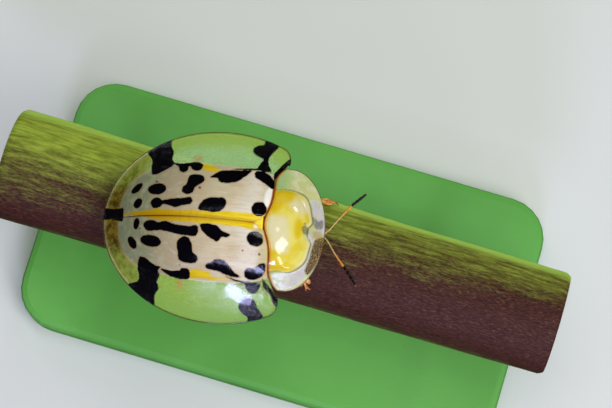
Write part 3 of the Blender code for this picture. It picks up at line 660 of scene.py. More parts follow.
def wing_case(name, side, spots, finishes):
    """One wing case: rows of points from tail to base, each from the suture to the rim."""
    rows = 230
    inner = 1 - 2 * BEAD  # share of the margin inside the bead
    steps = [i / 58 for i in range(58)]
    steps += [1 + inner * i / 40 for i in range(40)]
    steps += [2 - 2 * BEAD * (1 - i / 8) for i in range(9)]
    points = []
    area = []
    rim_distance = []
    run = []
    front = []
    for i in range(rows + 1):
        row = i / rows
        suture, edge, rim = wing_case_line(row)
        width = (edge - rim).length
        for t in steps:
            point = wing_case_point(row, t, CORNER_LEAN[side])
            front.append(base_edge(min(point.y, 3.4)) - point.x)
            point.y *= side
            points.append(point)
            area.append(t)
            rim_distance.append((2 - t) * width if t > 1 else 3.0)
            run.append((STRIAE * min(t, 1.0), row * 16.0, 0.0))
    columns = len(steps)
    faces = []
    for i in range(rows):
        for a in range(i * columns, (i + 1) * columns - 1):
            faces.append((a, a + 1, a + columns + 1, a + columns))
    places = np.array([seen(p) for p in points])
    yellow = nearest_of(YELLOW_PATCHES, places)
    stripe = np.array([stripe_distance(place) for place in places])
    spot = nearest_of(spots, places)
    values = {
        "area": area,
        "rim": rim_distance,
        "run": run,
        "front": front,
        "spot": spot,
        "yellow": np.minimum(yellow, stripe),
        "dots": nearest_of(BROWN_DOTS, places),
        # where the painted highlights go
        "pale": nearest_of(PAINTED_SHEEN_PATCHES, places),
        "knee": nearest_of(LEG_SHADES, places),
    }
    made = piece(name, points, faces, finishes[0], "wing_case", values, 180)
    wall = add_wall(made, DISC_WALL)
    for finish in finishes[1:]:
        made.data.materials.append(finish)
    for face in made.data.polygons:
        dark = max(spot[i] for i in face.vertices) < 0
        innermost = min(area[i] for i in face.vertices)
        over_margin = innermost >= 1
        on_bead = innermost >= inner + 1
        if dark and not on_bead and front[face.vertices[0]] < FRONT_SPOTS:
            face.material_index = 3
        elif dark and not over_margin:
            face.material_index = 2
        elif over_margin and (on_bead or not dark):
            face.material_index = 1
    group = made.vertex_groups.new(name="wall")
    for i, t in enumerate(area):
        share = 1.0 if t < 0.95 else max(0.0, 1.0 - (t - 0.95) / 0.15)
        group.add([i], share, "REPLACE")
    wall.vertex_group = "wall"
    wall.thickness_vertex_group = MARGIN_WALL / DISC_WALL
    return made


# Pronotum and scutellum.
def pronotum_front_edge(y):
    share = min(abs(y) / PRONOTUM_WIDTH, 1.0)
    return PRONOTUM_WIDEST + (PRONOTUM_FRONT - PRONOTUM_WIDEST) * math.sqrt(1 - share * share)


def pronotum_height(x, y):
    """Height of the outer face: a domed disc, then a margin that slopes to the rim."""
    along = (x - PRONOTUM_CENTRE) / PRONOTUM_DISC_LENGTH
    across = y / PRONOTUM_DISC_WIDTH
    reach = math.hypot(along, across)
    sideways = abs(across) / max(reach, 1e-6)
    edge = mix(PRONOTUM_EDGE_FRONT, PRONOTUM_EDGE_SIDE, sideways)
    rim = mix(PRONOTUM_RIM_FRONT, PRONOTUM_RIM_SIDE, sideways)
    if reach <= 1:
        return mix(edge, PRONOTUM_TOP, (1 - reach**2.2) ** 0.9)
    return mix(edge, rim, (reach - 1) / 0.42)


def pronotum_reach(turn):
    """How far the pronotum goes from its middle at an angle, found by halving."""
    low, high = 0.0, 8.0
    for _ in range(40):
        half = (low + high) / 2
        x = PRONOTUM_WIDEST + half * math.cos(turn)
        y = half * math.sin(turn)
        inside = abs(y) < PRONOTUM_WIDTH and pronotum_hind_edge(y) < x < pronotum_front_edge(y)
        low, high = (half, high) if inside else (low, half)
    return low


def pronotum(finish):
    spokes = 240
    rings = 64
    points = [Vector((PRONOTUM_WIDEST, 0.0, pronotum_height(PRONOTUM_WIDEST, 0.0)))]
    rim_distance = [3.0]
    for i in range(1, rings + 1):
        share = i / rings
        for k in range(spokes):
            turn = 2 * math.pi * k / spokes
            reach = pronotum_reach(turn)
            x = PRONOTUM_WIDEST + reach * share * math.cos(turn)
            y = reach * share * math.sin(turn)
            points.append(Vector((x, y, pronotum_height(x, y))))
            rim_distance.append(reach * (1 - share))
    faces = []
    for k in range(spokes):
        j = (k + 1) % spokes
        faces.append((0, 1 + k, 1 + j))
        for i in range(rings - 1):
            a = 1 + i * spokes
            faces.append((a + k, a + spokes + k, a + spokes + j, a + j))
    places = np.array([seen(p) for p in points])
    outline = nearest_of([PRONOTUM_DISC], places)
    values = {name: nearest_of(shapes, places) for name, shapes in PRONOTUM_SHAPES.items()}
    values["rim"] = rim_distance
    values["disc"] = outline
    values["front"] = [p.x - pronotum_hind_edge(p.y) for p in points]
    for point, away, from_rim in zip(points, outline, rim_distance):
        fade = smooth(from_rim / 0.3) * smooth((point.x - pronotum_hind_edge(point.y)) / 0.5)
        point.z += fade * (0.08 * smooth(-away / 0.3) - 0.08 * math.exp(-((away / 0.1) ** 2)))
        point.z += 0.05 * math.sqrt(max(0.0, 1 - ((from_rim - 0.07) / 0.07) ** 2))
    made = piece("pronotum", points, faces, finish, "pronotum", values, 180)
    add_wall(made, PRONOTUM_WALL)
    return made


def scutellum(finish):
    front = pronotum_hind_edge(0.0) - 0.04
    half = SCUTELLUM_WIDTH - 0.03
    length = SCUTELLUM_LENGTH - 0.05
    columns = 24
    rows = 20
    points = []
    for low in (0.0, 1.0):
        for i in range(rows + 1):
            share = i / rows
            width = half * (1 - share**1.15)
            for k in range(columns + 1):
                across = 2 * k / columns - 1
                crown = 0.09 * (1 - across**2) * (1 - share**3) * min(1.0, 6 * share + 0.3)
                z = RIDGE_FRONT + crown - 0.3 * low
                points.append(Vector((front - length * share, width * across, z)))
    faces = []
    size = (rows + 1) * (columns + 1)
    for i in range(rows):
        for k in range(columns):
            a = i * (columns + 1) + k
            faces.append((a, a + 1, a + columns + 2, a + columns + 1))
            faces.append((size + a, size + a + columns + 1, size + a + columns + 2, size + a + 1))
    for i in range(rows):
        for k in (0, columns):
            a = i * (columns + 1) + k
            faces.append((a, a + columns + 1, size + a + columns + 1, size + a))
    for k in range(columns):
        for i in (0, rows):
            a = i * (columns + 1) + k
            faces.append((a, a + 1, size + a + 1, size + a))
    return piece("scutellum", points, faces, finish, "pronotum")


# Body.
def disc_half_width(x):
    """Half width of the wing cases' disc."""
    if x > DISC_CENTRE:
        return mix(DISC_WIDTH, SHOULDER.y, ((x - DISC_CENTRE) / (SHOULDER.x - DISC_CENTRE)) ** 2.5)
    share = min((DISC_CENTRE - x) / DISC_LENGTH, 1.0)
    return DISC_WIDTH * (1 - share**DISC_POWER) ** (1 / DISC_POWER)


def under_dome(x):
    """Height that the body may reach below the suture."""
    if x > APEX.x:
        ridge = mix(DOME_HEIGHT, RIDGE_FRONT, ((x - APEX.x) / (base_edge(0.0) - APEX.x)) ** 2)
    else:
        share = (APEX.x - x) / (APEX.x - DISC_CENTRE + DISC_LENGTH)
        ridge = mix(DISC_EDGE_TAIL, DOME_HEIGHT, (1 - share**2.2) ** 0.9)
    return ridge - 2 * DISC_WALL - 0.35


def body_rings(stations, sides=48):
    """Points and faces of a body form through (x, half width, top, keel, edge height) stations."""
    points = []
    for x, half_width, top, keel, edge in stations:
        for k in range(sides):
            turn = 2 * math.pi * k / sides
            rise = math.sin(turn)
            z = mix(edge, top, rise**1.3) if rise > 0 else mix(edge, keel, abs(rise) ** 1.2)
            points.append(Vector((x, half_width * math.cos(turn), z)))
    return points, closed_bands(len(stations), sides)


def abdomen(finish):
    """Five ringed plates below, with a soft fold between them."""
    stations = []
    count = 70
    for i in range(count + 1):
        share = i / count
        x = mix(WAIST, ABDOMEN_END, share)
        width = (disc_half_width(x) - DISC_WALL - 0.5) * math.sqrt(max(1 - share**6, 0.02))
        edge = mix(0.55, BODY_EDGE, smooth((x - ABDOMEN_END) / 2.5))
        step = (share * 5) % 1.0
        groove = 0.12 * step - 0.1 * math.exp(-((min(step, 1 - step) / 0.05) ** 2))
        top = max(min(under_dome(x), BODY_EDGE + 2.2), edge + 0.1)
        stations.append((x, width, top, KEEL - groove + 0.3 * share**2, edge))
    return piece("abdomen", *body_rings(stations), finish, "body")


def thorax(finish):
    stations = []
    count = 40
    for i in range(count + 1):
        share = i / count
        x = mix(WAIST + 0.12, THORAX_FRONT, share)
        width = min(disc_half_width(x) - DISC_WALL - 0.5, 3.1) - 0.5 * share**3
        groove = 0.1 * math.exp(-(((share - 0.52) / 0.03) ** 2))
        keel = KEEL - 0.15 * smooth(share * 4) * smooth((1 - share) * 3) + groove
        stations.append((x, width, under_dome(x) - 0.35 * share**4, keel, BODY_EDGE))
    return piece("thorax", *body_rings(stations), finish, "body")


def prothorax(finish):
    stations = []
    count = 24
    for i in range(count + 1):
        share = i / count
        x = mix(THORAX_FRONT + 0.12, PROTHORAX_FRONT + 0.25, share)
        width = 2.35 - 1.05 * smooth((share - 0.3) / 0.7)
        top = pronotum_height(x + 0.3, width * 0.4) - 0.55
        stations.append((x, width, top, KEEL, mix(0.9, 0.45, share)))
    return piece("prothorax", *body_rings(stations), finish, "body")


# Head, eyes, mouthparts and feelers.
def head(finish):
    """Head capsule with a raised front plate and two sockets that the feelers grow from."""
    parts = Parts()
    parts.ball(HEAD_CENTRE, HEAD_HALF, 64, 44)
    for i, p in enumerate(parts.points):
        way = p - HEAD_CENTRE
        front = smooth((way.x - 0.35) / 0.3)
        brow = math.exp(-((way.y / 0.42) ** 2) - (((way.z + 0.12) / 0.3) ** 2))
        line = math.exp(-((way.y / 0.05) ** 2)) * smooth((way.z + 0.1) / 0.3)
        parts.points[i] = p + Vector((0.09 * front * brow - 0.05 * front * line, 0, 0))
    for side in (1, -1):
        foot = Vector((6.83, side * 0.17, 0.15))
        socket = ((0.0, 0.13), (0.1, 0.15), (0.17, 0.12))
        parts.tube([(foot + Vector((out, 0, 0)), radius, radius) for out, radius in socket], 20)
    return parts.made("head", finish, "body")


def eye(name, side, finish):
    parts = Parts()
    parts.ball(Vector((EYE_CENTRE.x, side * EYE_CENTRE.y, EYE_CENTRE.z)), EYE_HALF, 48, 32)
    return parts.made(name, finish, "eye")


def mouthparts(finish):
    """Upper lip, two jaws, and two pairs of jointed palps."""
    parts = Parts()
    parts.ball(Vector((6.55, 0.0, -0.6)), Vector((0.24, 0.42, 0.22)), 28, 18)
    for side in (1, -1):
        jaw = [
            (Vector((6.45, side * 0.42, -0.55)), 0.13, 0.16),
            (Vector((6.62, side * 0.34, -0.72)), 0.12, 0.13),
            (Vector((6.7, side * 0.16, -0.84)), 0.08, 0.07),
            (Vector((6.7, side * 0.04, -0.88)), 0.03, 0.03),
        ]
        parts.tube(jaw, 14)
        for x, spread, reach in ((6.3, 0.36, 0.42), (6.08, 0.24, 0.3)):
            base = Vector((x, side * spread, -0.5))
            for joint in range(3):
                a = base + Vector((0.05 * joint, side * reach * joint / 3, -0.13 * joint))
                after = joint + 1
                b = base + Vector((0.05 * after, side * reach * after / 3, -0.13 * after + 0.02))
                thick = 0.1 - 0.018 * joint
                sizes = ((a, thick * 0.7), (a.lerp(b, 0.6), thick), (b, thick * 0.6))
                parts.tube([(point, radius, radius) for point, radius in sizes], 12)
    return parts.made("mouthparts", finish, "leg")


def antenna(name, side, finish):
    """Eleven joints: a stout first, slender pale ones and a thicker black club with a pale tip."""
    bends = [Vector((6.95, side * 0.16, 0.15)), *(Vector(bend) for bend in ANTENNA_BENDS[side])]
    lengths = [1.5, 0.7, 0.95, 0.95, 0.9, 0.85, 0.85, 0.95, 1.0, 1.0, 1.5]
    radii = [0.1, 0.062, 0.046, 0.045, 0.05, 0.066, 0.08, 0.098, 0.106, 0.104, 0.086]
    total = sum(lengths)
    line = []
    shade = []
    start = 0.0
    for i, (length, radius) in enumerate(zip(lengths, radii)):
        for inside, swell, tip_swell in JOINT_SWELLS:
            share = (start + length * inside) / total
            if i == len(lengths) - 1:
                swell = tip_swell
            line.append((through(bends, share), radius * swell, radius * swell))
            shade.append(i + inside)
        start += length
    parts = Parts()
    parts.tube(line, 20, joint=shade)
    for i in range(0, len(line), 2):
        foot, width, _ = line[i]
        for _ in range(5):
            turn = random.uniform(0, 2 * math.pi)
            out = Vector((0.5, math.sin(turn), math.cos(turn))).normalized()
            tip = foot + out * (width + 0.07)
            root = foot + out * width * 0.8
            parts.tube([(root, 0.008, 0.008), (tip, 0.003, 0.003)], 3, joint=[shade[i], shade[i]])
    return parts.made(name, finish, "leg")


# Legs.
def stem_radius(along):
    return mix(STEM_RADIUS_BACK, STEM_RADIUS_FRONT, along / STEM_LENGTH + 0.5)


def stem_out(angle):
    """The way out of the stem at an angle in degrees from its top, to the left."""
    turn = math.radians(angle)
    return STEM_LEFT * math.sin(turn) + UP * math.cos(turn)


def stem_point(x, angle, lift):
    """A point at x in the beetle's frame, an angle in degrees round the stem and a height off it."""
    radius = stem_radius((x - STEM_MIDDLE) / STEM_ALONG.x)
    point = STEM_ORIGIN + stem_out(angle) * (radius + lift)
    return point + STEM_ALONG * ((x - point.x) / STEM_ALONG.x)


def limb_line(points, widths, depths, count):
    """A refined line of (point, width, depth) through few stations."""
    line = []
    sizes = [Vector((w, d, 0)) for w, d in zip(widths, depths)]
    for i in range(count + 1):
        share = i / count
        size = through(sizes, share)
        line.append((through(points, share), max(size.x, 0.004), max(size.y, 0.004)))
    return line


def leg(name, finish):
    """Coxa, ring, thigh and shin, then a foot of four joints with a pair of pads and two claws."""
    coxa, knee, ankle, claws = LEGS[name]
    coxa, knee = Vector(coxa), Vector(knee)
    lift = FOOT_LIFT
    foot = stem_point(*ankle, lift + 0.12)
    up = stem_out((ankle[1] + claws[1]) / 2)
    parts = Parts()
    parts.ball(coxa, Vector((0.42, 0.42, 0.42)), 28, 20, shade=0.0)
    sag = Vector((0, 0, -0.16))
    ring = coxa.lerp(knee, 0.16) + sag
    parts.ball(ring, Vector((0.27, 0.27, 0.25)), 24, 16, shade=0.15)
    thigh_end = knee - (knee - coxa).normalized() * 0.02
    thigh = [ring, coxa.lerp(knee, 0.38) + sag, coxa.lerp(knee, 0.7) + sag * 0.5, thigh_end]
    femur = limb_line(thigh, [0.2, 0.33, 0.29, 0.17], [0.19, 0.3, 0.26, 0.17], 18)
    parts.tube(femur, 22, shade=[0.3 + 0.3 * i / 18 for i in range(19)])
    parts.ball(knee, Vector((0.18, 0.18, 0.18)), 20, 14, shade=0.75)
    bow = knee - STEM_CENTRE
    bow.x = 0.0
    bow = bow.normalized() * 0.12
    shin = [knee, knee.lerp(foot, 0.3) + bow, knee.lerp(foot, 0.7) + bow * 0.7, foot]
    across = (knee - coxa).cross(foot - knee).normalized()
    tibia = limb_line(shin, [0.14, 0.16, 0.19, 0.23], [0.13, 0.15, 0.16, 0.18], 20)
    parts.tube(tibia, 20, across, shade=[0.55 + 0.2 * i / 20 for i in range(21)])
    for i in range(8, 20, 2):
        centre, width, _ = tibia[i]
        add_hairs(parts, centre, (foot - knee).normalized(), width, 7, 0.2)

    def at(share, sideways=0.0, rise=0.0):
        point = stem_point(mix(ankle[0], claws[0], share), mix(ankle[1], claws[1], share), lift + rise)
        along = stem_point(claws[0], claws[1], lift) - stem_point(ankle[0], ankle[1], lift)
        return point + along.normalized().cross(up) * sideways

    forward = (at(0.7) - at(0.4)).normalized()
    for a, b, wide in ((-0.02, 0.2, 0.23), (0.17, 0.38, 0.28)):
        widths = [wide * 0.5, wide * 0.85, wide]
        joint = limb_line([at(a), at(mix(a, b, 0.5)), at(b)], widths, [0.11, 0.14, 0.13], 10)
        parts.tube(joint, 20, up, shade=[0.6 + 0.1 * i / 10 for i in range(11)])
    for side in (1, -1):
        pad = [at(0.34, side * 0.05), at(0.48, side * 0.18), at(0.62, side * 0.28), at(0.75, side * 0.31)]
        lobe = limb_line(pad, [0.09, 0.17, 0.18, 0.08], [0.11, 0.14, 0.13, 0.06], 12)
        parts.tube(lobe, 20, up, shade=[0.65] * 13)
        bends = ((0.9, 0.05, 0.02), (0.99, 0.13, 0.04), (1.05, 0.2, -0.03), (1.08, 0.24, -0.12))
        claw = [at(share, side * sideways, rise) for share, sideways, rise in bends]
        hook = limb_line(claw, [0.055, 0.05, 0.032, 0.008], [0.06, 0.05, 0.03, 0.008], 12)
        parts.tube(hook, 12, up, shade=[0.9 + 0.1 * i / 12 for i in range(13)])
        for share in (0.42, 0.5, 0.58, 0.66):
            add_hairs(parts, at(share, side * 0.16, -0.04), forward - up, 0.1, 8, 0.12)
    joint = [at(0.42, 0, 0.04), at(0.68, 0, 0.05), at(0.93, 0, 0.02)]
    last = limb_line(joint, [0.07, 0.09, 0.12], [0.07, 0.09, 0.1], 12)
    parts.tube(last, 18, up, shade=[0.7 + 0.1 * i / 12 for i in range(13)])
    return parts.made(name, finish, "leg")


def add_hairs(parts, centre, way, radius, count, length):
    """A ring of short golden hairs that lean along a limb."""
    for _ in range(count):
        out = Vector([random.gauss(0, 1) for _ in range(3)]).normalized()
        root = centre + out * radius * 0.85
        tip = root + (out + way * 1.3).normalized() * length * random.uniform(0.6, 1.0)
        hair = [(root, 0.011, 0.011), (root.lerp(tip, 0.6), 0.008, 0.008), (tip, 0.002, 0.002)]
        parts.tube(hair, 3, shade=[0.5] * 3)


# Stem.
def stem(finish, cut):
    """The cut length of stem: finely ribbed bark and two sawn ends."""
    sides = 144
    count = 220
    points = []
    turns = []
    for i in range(count + 1):
        along = mix(-STEM_LENGTH / 2, STEM_LENGTH / 2, i / count)
        near_end = STEM_LENGTH / 2 - abs(along)
        share = 1 - 0.05 * (1 - smooth(near_end / 0.3))
        for k in range(sides):
            turn = 360 * k / sides
            up = math.cos(math.radians(turn))
            left = math.sin(math.radians(turn))
            rib = noise.noise(Vector((up * 9, left * 9, along * 0.12)))
            swell = noise.noise(Vector((up, left, along * 0.16)))
            radius = (stem_radius(along) - 0.05 + 0.035 * rib + 0.05 * swell) * share
            points.append(STEM_CENTRE + STEM_ALONG * along + stem_out(turn) * radius)
            turns.append((left, up, along))
    faces = bands(count + 1, sides)
    for start in (0, count * sides):
        middle = len(points)
        along = -STEM_LENGTH / 2 if start == 0 else STEM_LENGTH / 2
        points.append(STEM_CENTRE + STEM_ALONG * along)
        turns.append((0.0, 0.0, along))
        for k in range(sides):
            faces.append((middle, start + k, start + (k + 1) % sides))
    made = piece("perch_stem", points, faces, finish, "stem", {"bark": turns}, 40)
    made.data.materials.append(cut)
    for face in made.data.polygons:
        if len(face.vertices) == 3:
            face.material_index = 1
    return made


# Materials.
def linear(*colour):
    """Linear colour from 0 to 255 screen values."""
    parts = [c / 255 / 12.92 if c < 10.3 else ((c / 255 + 0.055) / 1.055) ** 2.4 for c in colour]
    return (*parts, 1.0)


class Paint:
    """A node material that is written from its parts."""

    def __init__(self, name, roughness, specular=0.5, coat=0.0, coat_roughness=0.03, subsurface=0.0):
        self.material = bpy.data.materials.new(name)
        self.material.use_nodes = True
        self.tree = self.material.node_tree
        self.shader = self.tree.nodes["Principled BSDF"]
        for socket, value in (
            ("Roughness", roughness),
            ("Specular IOR Level", specular),
            ("Coat Weight", coat),
            ("Coat Roughness", coat_roughness),
            ("Subsurface Weight", subsurface),
        ):
            self.shader.inputs[socket].default_value = value
        self.shader.inputs["Subsurface Radius"].default_value = (0.001, 0.0006, 0.0003)
        self.shader.inputs["Subsurface Scale"].default_value = 0.3

    def node(self, kind, inputs=None, **settings):
        made = self.tree.nodes.new(kind)
        for key, value in settings.items():
            setattr(made, key, value)
        for key, value in (inputs or {}).items():
            self.plug(value, made.inputs[key])
        return made

    def plug(self, value, socket):
        if isinstance(value, bpy.types.NodeSocket):
            self.tree.links.new(value, socket)
        else:
            socket.default_value = value

    def maths(self, operation, *values):
        return self.node("ShaderNodeMath", dict(enumerate(values)), operation=operation).outputs[0]

    def times(self, *values):
        return self.maths("MULTIPLY", *values)

    def plus(self, *values):
        return self.maths("ADD", *values)

    def minus(self, *values):
        return self.maths("SUBTRACT", *values)

    def most(self, *values):
        return self.maths("MAXIMUM", *values)

    def size(self, value):
        return self.maths("ABSOLUTE", value)

    def value(self, name, output="Fac"):
        return self.node("ShaderNodeAttribute", attribute_name=name).outputs[output]

    def place(self):
        """Coordinates of the object in mm."""
        return self.stretch(self.node("ShaderNodeTexCoord").outputs["Object"], 1000, 1000, 1000)

    def stretch(self, vector, x, y, z):
        return self.node("ShaderNodeVectorMath", {0: vector, 1: (x, y, z)}, operation="MULTIPLY").outputs[0]

    def noise(self, vector, scale, detail=3.0, roughness=0.5):
        inputs = {"Vector": vector, "Scale": scale, "Detail": detail, "Roughness": roughness}
        return self.node("ShaderNodeTexNoise", inputs).outputs["Fac"]

    def cells(self, vector, scale, feature="F1", randomness=1.0):
        inputs = {"Vector": vector, "Scale": scale, "Randomness": randomness}
        return self.node("ShaderNodeTexVoronoi", inputs, feature=feature).outputs["Distance"]

    def step(self, value, low, high, start=0.0, end=1.0):
        """Turns smoothly from start to end as the value goes from low to high."""
        inputs = {"Value": value, "From Min": low, "From Max": high, "To Min": start, "To Max": end}
        return self.node("ShaderNodeMapRange", inputs, interpolation_type="SMOOTHSTEP").outputs[0]

    def mixed(self, share, low, high):
        """A colour between low and high."""
        return self.node("ShaderNodeMix", {0: share, 6: low, 7: high}, data_type="RGBA").outputs[2]

    def blend(self, share, low, high):
        """A number between low and high."""
        return self.node("ShaderNodeMix", {0: share, 2: low, 3: high}, data_type="FLOAT").outputs[0]

    def bump(self, height, depth, strength=1.0):
        """Raises the surface by the height times a depth in mm."""
        inputs = {"Height": height, "Distance": depth * MM, "Strength": strength}
        self.plug(self.node("ShaderNodeBump", inputs).outputs[0], self.shader.inputs["Normal"])

    def finish(self, colour, roughness=None, alpha=None):
        self.plug(colour, self.shader.inputs["Base Color"])
        if roughness is not None:
            self.plug(roughness, self.shader.inputs["Roughness"])
        if alpha is not None:
            self.plug(alpha, self.shader.inputs["Alpha"])
        return self.material


def wing_case_paint(name, specular, coat, coat_roughness):
    """Cream disc with fine striae and some painted shade and highlights, yellow stripe and black spots, and a
    clear netted margin.
    """
    p = Paint(name, 0.2, specular=specular, coat=coat, coat_roughness=coat_roughness)
    where = p.place()
    split = p.node("ShaderNodeSeparateXYZ", {0: where})
    x = p.minus(split.outputs[0], BEETLE_AT.x)
    y = p.minus(split.outputs[1], BEETLE_AT.y)
    side = p.size(y)
    area = p.value("area")
    run = p.value("run", "Vector")
    lines = p.node("ShaderNodeSeparateXYZ", {0: run}).outputs[0]
    front = p.value("front")
    rim_distance = p.value("rim")
    grain = p.noise(where, 0.7)
    patches = p.noise(where, 1.5, 3.0)
    wrinkles = p.noise(p.stretch(run, 2.4, 0.5, 1.0), 1.0, 4.0, 0.6)
    flecks = p.noise(p.stretch(run, 2.0, 1.1, 1.0), 1.0, 3.0, 0.55)

    cream = p.mixed(p.step(grain, 0.35, 0.7), linear(212, 199, 168), linear(202, 182, 145))
    # Darker and greener towards the tail: partly the shell's own colour, partly painted shade on the rear
    # slope.
    cream = p.mixed(p.step(x, 1.5, -3.2), cream, linear(167, 153, 121))
    cream = p.mixed(p.step(x, -2.8, -5.0), cream, linear(130, 137, 102))
    cream = p.mixed(p.step(patches, 0.48, 0.68, 0.0, 0.35), cream, linear(176, 182, 148))
    # Paler towards the base: partly the shell's own paler front, partly a painted sheen.
    cream = p.mixed(p.step(front, 2.6, 1.2, 0.0, 0.6), cream, linear(228, 222, 208))
    by_side = p.step(y, 1.0, -0.5, 0.4, 0.9)
    cream = p.mixed(p.step(front, 1.0, 0.35, 0.0, by_side), cream, linear(192, 180, 126))
    cream = p.mixed(p.step(wrinkles, 0.5, 0.7, 0.0, 0.32), cream, linear(176, 148, 112))
    cream = p.mixed(p.step(wrinkles, 0.44, 0.3, 0.0, 0.25), cream, linear(230, 224, 204))
    cream = p.mixed(p.step(flecks, 0.58, 0.7, 0.0, 0.4), cream, linear(212, 162, 132))
    wave = p.size(p.minus(p.maths("FRACT", lines), 0.5))
    groove = p.step(wave, 0.0, 0.16, 1.0, 0.0)
    pits = p.cells(p.stretch(run, 1.0, 3.2, 1.0), 1.0, randomness=0.35)
    pit = p.times(groove, p.step(pits, 0.1, 0.4, 1.0, 0.0))
    cream = p.mixed(p.times(pit, 0.16), cream, linear(150, 120, 96))
    cream = p.mixed(p.step(p.value("spot"), 0.1, 0.02, 0.0, 0.45), cream, linear(150, 106, 64))
    gold = p.mixed(p.step(x, -5.0, 2.5), linear(178, 144, 0), linear(238, 210, 0))
    gold = p.mixed(p.step(wrinkles, 0.42, 0.68, 0.0, 0.5), gold, linear(192, 138, 0))
    gold = p.mixed(p.step(side, 0.06, 0.3, 0.5, 0.0), gold, linear(178, 122, 0))
    suture = p.times(p.step(side, 0.02, 0.08, 1.0, 0.0), p.step(x, 1.5, -4.0, 0.15, 0.9))
    gold = p.mixed(suture, gold, linear(92, 54, 8))
    ragged = p.times(p.minus(p.noise(p.stretch(where, 0.5, 1.6, 1.0), 3.0), 0.5), 0.3)
    yellow = p.step(p.plus(p.value("yellow"), ragged), -0.06, 0.08, 1.0, 0.0)
    golden = p.times(yellow, p.step(area, 1.12, 1.06))
    disc = p.mixed(golden, cream, gold)
    hind_suture = p.times(p.step(side, 0.05, 0.02), p.step(x, -4.4, -5.0, 0.0, 0.8))
    disc = p.mixed(hind_suture, disc, linear(84, 56, 14))
    # Painted highlight: the pale patches stand in for reflections on the shell.
    disc = p.mixed(p.step(p.value("pale"), 0.12, -0.1, 0.0, 0.8), disc, linear(250, 248, 240))
    disc = p.mixed(p.step(front, 0.08, 0.14, 0.6, 0.0), disc, linear(224, 176, 60))
    beside = p.step(side, 0.4, 0.6, 0.2, 1.0)
    disc = p.mixed(p.times(beside, p.step(front, 0.04, 0.1, 0.85, 0.0)), disc, linear(146, 72, 10))
    disc = p.mixed(p.step(p.value("dots"), -0.04, 0.04, 0.85, 0.0), disc, linear(92, 46, 26))

    web = p.step(p.cells(where, 6.5, "DISTANCE_TO_EDGE"), 0.02, 0.12, 1.0, 0.0)
    mottle = p.noise(where, 2.4, 3.0, 0.6)
    tail = p.step(x, -3.9, -5.6)
    amber = p.mixed(p.step(mottle, 0.38, 0.62), linear(74, 58, 10), linear(132, 112, 30))
    bright = p.mixed(p.step(mottle, 0.38, 0.62), linear(130, 140, 42), linear(158, 172, 72))
    amber = p.mixed(p.step(side, 1.5, 2.8), amber, bright)
    dark = p.times(p.step(p.cells(where, 3.4), 0.26, 0.12, 0.0, 0.75), p.step(area, 1.6, 1.3))
    dark = p.times(dark, p.step(side, 3.2, 2.2))
    amber = p.mixed(dark, amber, linear(64, 44, 12))
    peach = p.mixed(p.step(side, 1.6, 2.8), linear(150, 112, 40), linear(204, 178, 126))
    amber = p.mixed(p.step(area, 1.26, 1.06, 0.0, 0.8), amber, peach)
    # A pale line just inside the tail rim: partly the rim's own paler colour, partly a painted highlight
    # along the raised rim.
    pale = p.times(p.step(rim_distance, 0.34, 0.16), p.step(side, 1.2, 3.4, 0.25, 0.6))
    amber = p.mixed(pale, amber, linear(196, 188, 132))
    across = p.plus(rim_distance, p.times(p.noise(where, 0.8, 2.0), 0.8))
    mint = p.blend(p.step(y, -1.0, 1.0), p.step(x, -2.5, 1.5, 0.15, 0.65), p.step(across, 0.9, 2.4))
    clear = p.mixed(mint, linear(196, 218, 60), linear(196, 238, 164))
    clear = p.mixed(p.step(y, -1.0, -3.0, 0.0, 0.5), clear, linear(160, 200, 36))
    clear = p.mixed(p.times(web, 0.4), clear, linear(226, 240, 176))
    clear = p.mixed(p.step(p.value("knee"), 0.08, -0.2, 0.0, 0.6), clear, linear(236, 170, 92))
    clear = p.mixed(tail, clear, amber)
    margin = p.step(area, 1.0, 1.05)
    margin = p.times(margin, p.minus(1.0, golden))
    colour = p.mixed(margin, disc, clear)
    alpha = p.plus(p.blend(tail, p.step(across, 0.8, 2.4, 0.26, 0.38), 0.78), p.times(web, 0.12))
    alpha = p.blend(margin, 1.0, alpha)

    rim = p.step(rim_distance, 0.04, 0.09, 1.0, 0.0)
    colour = p.mixed(rim, colour, linear(82, 66, 14))
    rough_edge = p.times(p.minus(p.noise(where, 5.0, 2.0), 0.5), 0.12)
    spot = p.step(p.plus(p.value("spot"), rough_edge), -0.02, 0.025, 1.0, 0.0)
    colour = p.mixed(spot, colour, linear(7, 6, 10))
    alpha = p.most(alpha, p.most(spot, p.times(rim, 0.9)))
    relief = p.plus(p.times(pit, -1.0), p.times(groove, -0.25))
    relief = p.blend(spot, relief, p.times(pit, -0.3))
    grit = p.times(p.cells(where, 5.5), p.blend(spot, 0.0, 1.1))
    relief = p.blend(margin, relief, p.plus(grit, p.times(web, 0.7)))
    relief = p.plus(relief, p.times(p.noise(where, 1.4, 2.0), 0.8))
    relief = p.plus(relief, p.times(p.noise(where, 7.0, 2.0), p.blend(margin, 0.25, 0.6)))
    p.bump(relief, 0.035, 0.7)
    rough = p.blend(margin, p.blend(spot, 0.42, 0.1), p.blend(spot, 0.14, 0.12))
    return p.finish(colour, rough, alpha)


